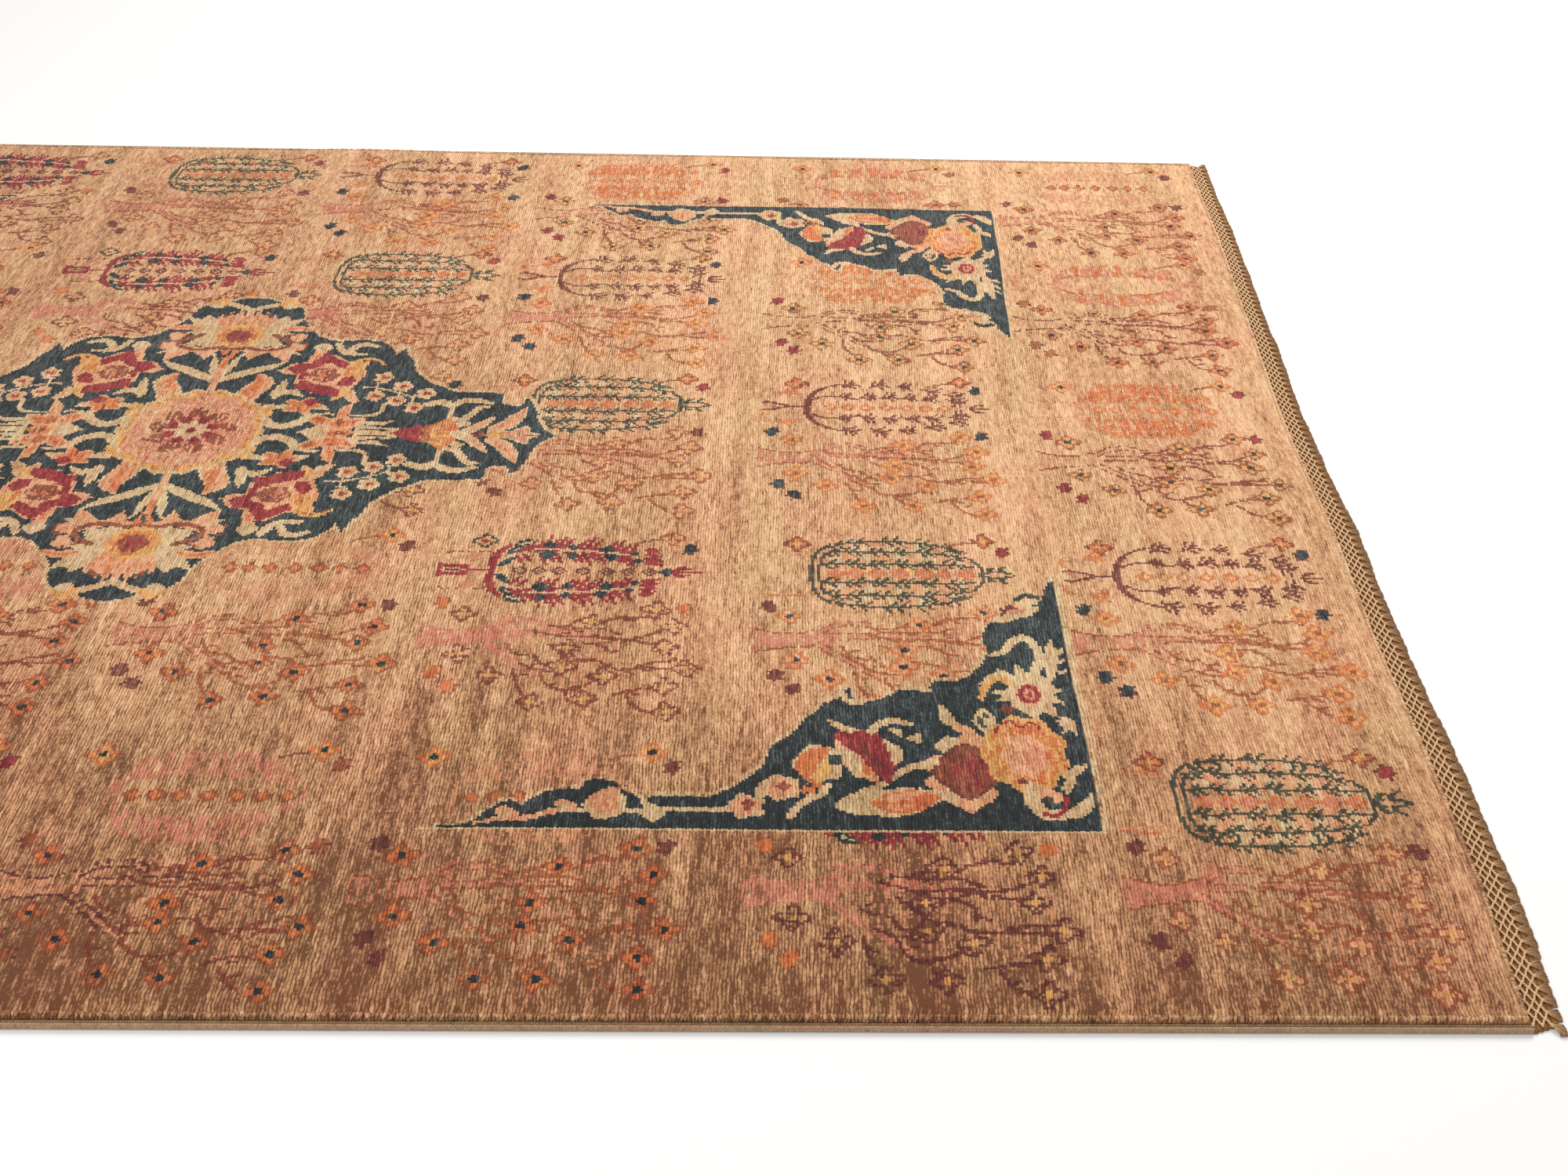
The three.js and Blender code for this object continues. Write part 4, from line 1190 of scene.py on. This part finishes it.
def rim_tufts():
    """Two tufts, one over the other, at both ends of every row and at every knot of the outer rows."""
    ends, places = [], []
    for side in (-1, 1):
        mark = 1 if side < 0 else -2
        crest = np.arange(1, lines, 2)
        for lift in (0.3, -0.8):
            along = top_points[crest, mark] + [0, 0, lift]
            way = np.stack([rng.uniform(-0.5, 0.5, ROWS), np.full(ROWS, side), np.zeros(ROWS)], axis=-1)
            ends.append((along, way))
            places.append(np.stack([np.arange(ROWS), np.full(ROWS, marks[mark]), np.zeros(ROWS)], axis=-1))
    for side in (-1, 1):
        edge_line = 3 if side < 0 else -4
        between = np.arange(KNOTS) + 0.5
        for lift in (0.2, -1.0):
            edge = top_points[edge_line].T
            along = np.stack([np.interp(between, marks, edge[axis]) for axis in range(3)], axis=-1)
            way = np.stack([np.full(KNOTS, side), rng.uniform(-0.5, 0.5, KNOTS), np.zeros(KNOTS)], axis=-1)
            ends.append((along + [0, 0, lift], way))
            end_row = np.full(KNOTS, ROWS if side > 0 else 0)
            places.append(np.stack([end_row, between, np.zeros(KNOTS)], axis=-1))
    foot = np.concatenate([e[0] for e in ends])
    way = np.concatenate([e[1] for e in ends])
    way /= np.linalg.norm(way, axis=1)[:, None]
    count = len(foot)
    long, wide = rng.uniform(2.6, 6.0, count), rng.uniform(1.8, 3.4, count)
    drop = rng.uniform(-0.4, 2.6, count)
    points, corners, sizes = tufts(foot, way, long, wide, drop)
    places = np.repeat(np.concatenate(places), TUFT_POINTS, axis=0)
    # The feet of the tufts get the wool's painted furrow shade, and their points the painted light of its tips
    places[:, 0] = np.floor(places[:, 0]) + np.tile([0.1] * 4 + [0.4] * 4 + [0.55] * 5, count)
    return points, corners, sizes, places


# A paler copy of the camel pile wool, as painted light on the rim
edge_wool_painted_light = pile_wool("edge_tuft_wool_painted_light", "#946645", "#e4b78f", "#fbe3c4", contrast=0.9, uneven_dye_and_painted_light=1.0)
points, corners, sizes, places = rim_tufts()
rim = woven_mesh("rim_tufts", points, corners, sizes, edge_wool_painted_light, places)
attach(rim, "root")

# Side cords: along each long side a thin wrapped cord lies against the pile, and a thicker one outside it.
# Both are bundles of warps overcast with wool yarn, turn by turn. They lie on the floor.
GAP = 0.3
THIN, THICK = 4.2, 6.0
# Thickness, distance of the cord's middle from the pile, pitch of the turns, and sides of its round section
CORDS = {"inner": (THIN, GAP + THIN / 2, 3.0, 6), "outer": (THICK, GAP + THIN + GAP + THICK / 2, 2.5, 8)}


def wrapped_cord(thickness, offset, pitch, sides, side):
    """A cord whose radius rises and falls with each turn of wool. The turns slant."""
    turns = int(PILE_LENGTH / pitch)
    rings = 2 * turns + 1
    x = np.linspace(-PILE_LENGTH / 2, PILE_LENGTH / 2, rings)
    radius = np.where(np.arange(rings) % 2 == 1, 1.0, 0.9) * thickness / 2 * rng.uniform(0.97, 1.0, rings)
    angle = 2 * np.pi * (np.arange(sides) + 0.5) / sides
    lean = 0.35 * pitch * np.cos(angle)[None, :] * np.clip((PILE_LENGTH / 2 - abs(x)) / 5, 0, 1)[:, None]
    ring_x = x[:, None] + lean
    centre_y = -(PILE_WIDTH / 2 + offset + side_out(x))[:, None]
    ring_y = centre_y + radius[:, None] * np.cos(angle)[None, :]
    ring_z = thickness / 2 + radius[:, None] * np.sin(angle)[None, :]
    points = np.stack([side * ring_x, side * ring_y, ring_z], axis=-1).reshape(-1, 3)
    number = np.arange(rings * sides).reshape(rings, sides)
    step = np.roll(number, -1, axis=1)
    quads = np.stack([number[:-1], step[:-1], step[1:], number[1:]], axis=-1).reshape(-1, 4)
    corners = np.concatenate([quads.ravel(), number[0][::-1], number[-1]])
    sizes = np.concatenate([np.full(len(quads), 4), [sides, sides]])
    # Half a step per ring gives the wool's painted rib light and shade one rib per turn
    turn_place = np.repeat(np.arange(rings) / 2, sides)
    places = np.stack([turn_place, np.tile(3 * angle, rings), np.zeros(rings * sides)], axis=-1)
    return points, corners, sizes, places


# The same matt wool as the pile, but wound tight: fainter painted shade in the grooves between turns, and a
# duller, more even tone
cord_wools = {
    "inner": pile_wool("olive_cord_wool", "#65513b", "#a08363", "#c2a684", contrast=0.6, uneven_dye_and_painted_light=0.3),
    "outer": pile_wool("overcast_cord_wool", "#7d634a", "#b5947a", "#d6ba9e", contrast=0.6, uneven_dye_and_painted_light=0.3),
}
for kind, (thickness, offset, pitch, sides) in CORDS.items():
    for side_name, side in (("near", 1), ("far", -1)):
        points, corners, sizes, places = wrapped_cord(thickness, offset, pitch, sides, side)
        cord = woven_mesh(f"{kind}_cord_{side_name}", points, corners, sizes, cord_wools[kind], places)
        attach(cord, "root")
        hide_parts(f"side_cord_{kind}_{side_name}")

# Net fringes: the warp ends are knotted into a net of staggered meshes beside the pile.
# From each last knot the ends fan out, turn down over the edge and lie on the floor under the net.
FRINGE_PITCH, FRINGE_TAPER = 15.4, 0.11
NET_ROWS, NET_KNOTS, NET_HEIGHT = [0.6, 4.8, 9.0, 13.2, 17.4], 131, 3.2
NET_CORD_RADIUS, STRAND_RADIUS = 1.3, 0.55
FAN_STRANDS, FAN_REACH, FAN_SPREAD, CORNER_SWING = 8, 12.6, 7.1, 6
# A strand's path from its knot: its share of the fan's reach, its height, and its share of the spread
STRAND_OUT = np.array([0, 0.3, 0.7, 0.95, 1.0, 0.92, 0.4])
STRAND_HEIGHT = np.array([3.3, 3.3, 2.9, 2.3, 1.6, 0.95, 0.8])
STRAND_SPREAD = np.array([0.12, 0.5, 0.88, 1, 1, 1, 1])
FLOOR_HEIGHT = 1.2  # strands lower than this lie still on the floor
UNDER_ROWS, UNDER_STEPS = (1.5, 6.5, 11.5, 16.5, 21.5), 320


def fringe_x(across, y):
    """A place across the fringe, which follows the pile's wavy end and is wider towards the viewer."""
    return PILE_LENGTH / 2 + GAP + end_out(y) + across * (1 - FRINGE_TAPER * y / (PILE_WIDTH / 2))


def yarns(routes, radius, sides, flat=1.0):
    """Round yarns along a batch of routes that all have the same number of points, with closed ends."""
    count, steps, _ = routes.shape
    way = np.gradient(routes, axis=1)
    side = np.cross(way, [0, 0, 1.0])
    weak = np.linalg.norm(side, axis=2) < 0.05 * np.linalg.norm(way, axis=2)
    side[weak] = [0, 1.0, 0]
    side /= np.linalg.norm(side, axis=2)[:, :, None]
    up = np.cross(side, way)
    up /= np.maximum(np.linalg.norm(up, axis=2), 1e-9)[:, :, None]
    radius = np.broadcast_to(radius, (count, steps))[:, :, None, None]
    angle = 2 * np.pi * (np.arange(sides) + 0.5) / sides
    ring = np.cos(angle)[:, None] * side[:, :, None] + flat * np.sin(angle)[:, None] * up[:, :, None]
    points = routes[:, :, None] + radius * ring
    number = np.arange(steps * sides).reshape(steps, sides)
    step = np.roll(number, -1, axis=1)
    quads = np.stack([number[:-1], step[:-1], step[1:], number[1:]], axis=-1).reshape(-1)
    one = np.concatenate([quads, number[0][::-1], number[-1]])
    corners = (one[None, :] + steps * sides * np.arange(count)[:, None]).ravel()
    sizes = np.tile([4] * (len(quads) // 4) + [sides] * 2, count)
    return points.reshape(-1, 3), corners, sizes


def net_knots(row):
    """The knots of one row of the net, set a little unevenly. Every second row is half a mesh further in."""
    count = NET_KNOTS - row % 2
    y = (np.arange(count) - (count - 1) / 2) * FRINGE_PITCH
    y = y + rng.uniform(-0.9, 0.9, count) * (abs(y) < PILE_WIDTH / 2)
    x = fringe_x(NET_ROWS[row] + rng.uniform(-0.5, 0.5, count), y)
    return np.stack([x, y, NET_HEIGHT + rng.uniform(-0.2, 0.2, count)], axis=-1)


def net(knots):
    """Two thin cords from each knot to the next row, bent like a mesh's sides, and a lump for each knot."""
    parts = []
    for row, (low, high) in enumerate(zip(knots, knots[1:])):
        if row % 2 == 0:
            pairs = [(low[:-1], high), (low[1:], high)]
        else:
            pairs = [(low, high[:-1]), (low, high[1:])]
        for a, b in pairs:
            t = np.array([0, 0.33, 0.67, 1])[None, :, None]
            routes = a[:, None] * (1 - t) + b[:, None] * t
            routes[..., 1] = a[:, None, 1] + (b - a)[:, None, 1] * np.array([0, 0.2, 0.8, 1])
            routes[:, 1:-1, 2] -= 0.3
            parts.append(yarns(routes, NET_CORD_RADIUS, 4))
    for row in knots:
        reach = np.array([-2.4, -1.3, 1.3, 2.4])
        routes = row[:, None] + np.stack([np.zeros(4), reach, np.zeros(4)], axis=-1)[None]
        parts.append(yarns(routes, np.array([0.6, 1.7, 1.7, 0.6])[None], 6, flat=0.8))
    return parts


def fans(roots):
    """Strands that spread from each last knot, turn down over the edge and run back under the net."""
    root_x, root_y = roots[:, 0], roots[:, 1]
    wave = FAN_REACH + 0.9 * np.sin(root_y / 37) + 0.5 * np.sin(root_y / 13 + 1)
    wave = wave + rng.uniform(-0.3, 0.3, len(roots))
    taper = 1 - FRINGE_TAPER * root_y / (PILE_WIDTH / 2)
    # At both corners the last fan swings out round the ends of the side cords
    corner_swing = CORNER_SWING * np.sign(root_y) * np.clip((abs(root_y) - 980) / 12, 0, 1)
    parts = []
    for share in np.linspace(-1, 1, FAN_STRANDS):
        reach = wave * (1 - 0.06 * share ** 2)
        y = root_y[:, None] + STRAND_SPREAD[None, :] * (FAN_SPREAD * share + corner_swing)[:, None]
        y = np.clip(y, -1012.5, 1012.5)
        x = root_x[:, None] + reach[:, None] * STRAND_OUT[None, :] * taper[:, None]
        loose = (STRAND_OUT > 0) * (STRAND_HEIGHT > FLOOR_HEIGHT)
        z = np.broadcast_to(STRAND_HEIGHT, y.shape) + rng.uniform(-0.5, 0.1, y.shape) * loose
        parts.append(yarns(np.stack([x, y, z], axis=-1), STRAND_RADIUS, 3))
    return parts


def turned_under():
    """The turned-under ends: a ribbed layer seen through the net, painted brown as shade by the yarn's low
    height, a little shorter further out.
    """
    parts = []
    for across in UNDER_ROWS:
        y = np.linspace(-1, 1, UNDER_STEPS) * (1010 - 0.4 * across)
        z = 0.85 + 0.25 * (np.arange(UNDER_STEPS) % 2)
        parts.append(yarns(np.stack([fringe_x(across, y), y, z], axis=-1)[None], 3.6, 4, flat=0.16))
    return parts


def net_fringe():
    knots = [net_knots(row) for row in range(len(NET_ROWS))]
    parts = net(knots) + fans(knots[-1]) + turned_under()
    starts = np.cumsum([0] + [len(part[0]) for part in parts[:-1]])
    points = np.concatenate([part[0] for part in parts])
    corners = np.concatenate([part[1] + start for part, start in zip(parts, starts)])
    return points, corners, np.concatenate([part[2] for part in parts])


# Plied yarn: pale on top and brown where it lies deep, out of the light, with its twist as fine mottling
warp_yarn = bpy.data.materials.new("plied_warp_yarn")
warp_yarn.use_nodes = True
tree = warp_yarn.node_tree
shader = tree.nodes["Principled BSDF"]
shader.inputs["Roughness"].default_value = 0.85
shader.inputs["Specular IOR Level"].default_value = 0.25
place = node(tree, "TexCoord").outputs["Object"]
height = node(tree, "SeparateXYZ", {0: place}).outputs[2]
depth = node(tree, "MapRange", {0: height, 1: 0.4 * MM, 2: 5.0 * MM}).outputs[0]
twist = node(tree, "TexNoise", {"Vector": place, "Scale": 420.0, "Detail": 3.0})
tone = node(tree, "Math", {0: twist.outputs["Fac"], 1: 0.45, 2: depth}, operation="MULTIPLY_ADD").outputs[0]
ramp = node(tree, "ValToRGB", {0: tone})
stops = ramp.color_ramp.elements
stops[0].position, stops[0].color = 0.2, linear("#67401c")
stops[1].position, stops[1].color = 1.0, linear("#deb88d")
stops.new(0.6).color = linear("#ad7a49")
tree.links.new(ramp.outputs["Color"], shader.inputs["Base Color"])
for side_name, side in (("right", 1), ("left", -1)):
    points, corners, sizes = net_fringe()
    fringe = woven_mesh(f"net_fringe_{side_name}_yarn", points * [side, side, 1], corners, sizes, warp_yarn)
    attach(fringe, "root")
    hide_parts(f"net_fringe_{side_name}")

# Floor and light: a plain pale floor in a pale room, a large soft lamp beyond the far right corner
# and a weaker one behind the viewer. The floor's matt paint shows no gloss.
FLOOR_SIZE, FLOOR_DROP = 16.0, 0.0004  # the drop keeps the floor just clear of the rug's foot
floor_mesh = bpy.data.meshes.new("floor")
edge = FLOOR_SIZE / 2
floor_corners = [(-edge, -edge, 0), (edge, -edge, 0), (edge, edge, 0), (-edge, edge, 0)]
floor_mesh.from_pydata(floor_corners, [], [(0, 1, 2, 3)])
floor = bpy.data.objects.new("floor", floor_mesh)
floor.location.z = -FLOOR_DROP
bpy.context.scene.collection.objects.link(floor)
paint = bpy.data.materials.new("pale_floor_paint")
paint.use_nodes = True
shader = paint.node_tree.nodes["Principled BSDF"]
shader.inputs["Base Color"].default_value = linear("#fdfdfc")
shader.inputs["Roughness"].default_value = 0.8
floor_mesh.materials.append(paint)


def soft_lamp(name, place, aim, size, watts, colour):
    """A square lamp at a place, aimed at a point of the rug."""
    lamp = bpy.data.objects.new(name, bpy.data.lights.new(name, "AREA"))
    lamp.data.size = size
    lamp.data.energy = watts
    lamp.data.color = linear(colour)[:3]
    lamp.location = place
    lamp.rotation_euler = (Vector(aim) - Vector(place)).to_track_quat("-Z", "Y").to_euler()
    bpy.context.scene.collection.objects.link(lamp)


soft_lamp("key_lamp", (2.6, 2.8, 3.2), (0.5, 0.1, 0), 2.6, 152, "#fffcf8")
soft_lamp("fill_lamp", (-1.5, -2.5, 3.4), (0.5, 0, 0), 3.0, 76, "#fbfcff")
world = bpy.data.worlds.new("pale_room")
bpy.context.scene.world = world
world.use_nodes = True
air = world.node_tree.nodes["Background"]
air.inputs["Color"].default_value = linear("#fbfaf8")
air.inputs["Strength"].default_value = 0.5
bpy.context.scene.view_settings.view_transform = "Standard"
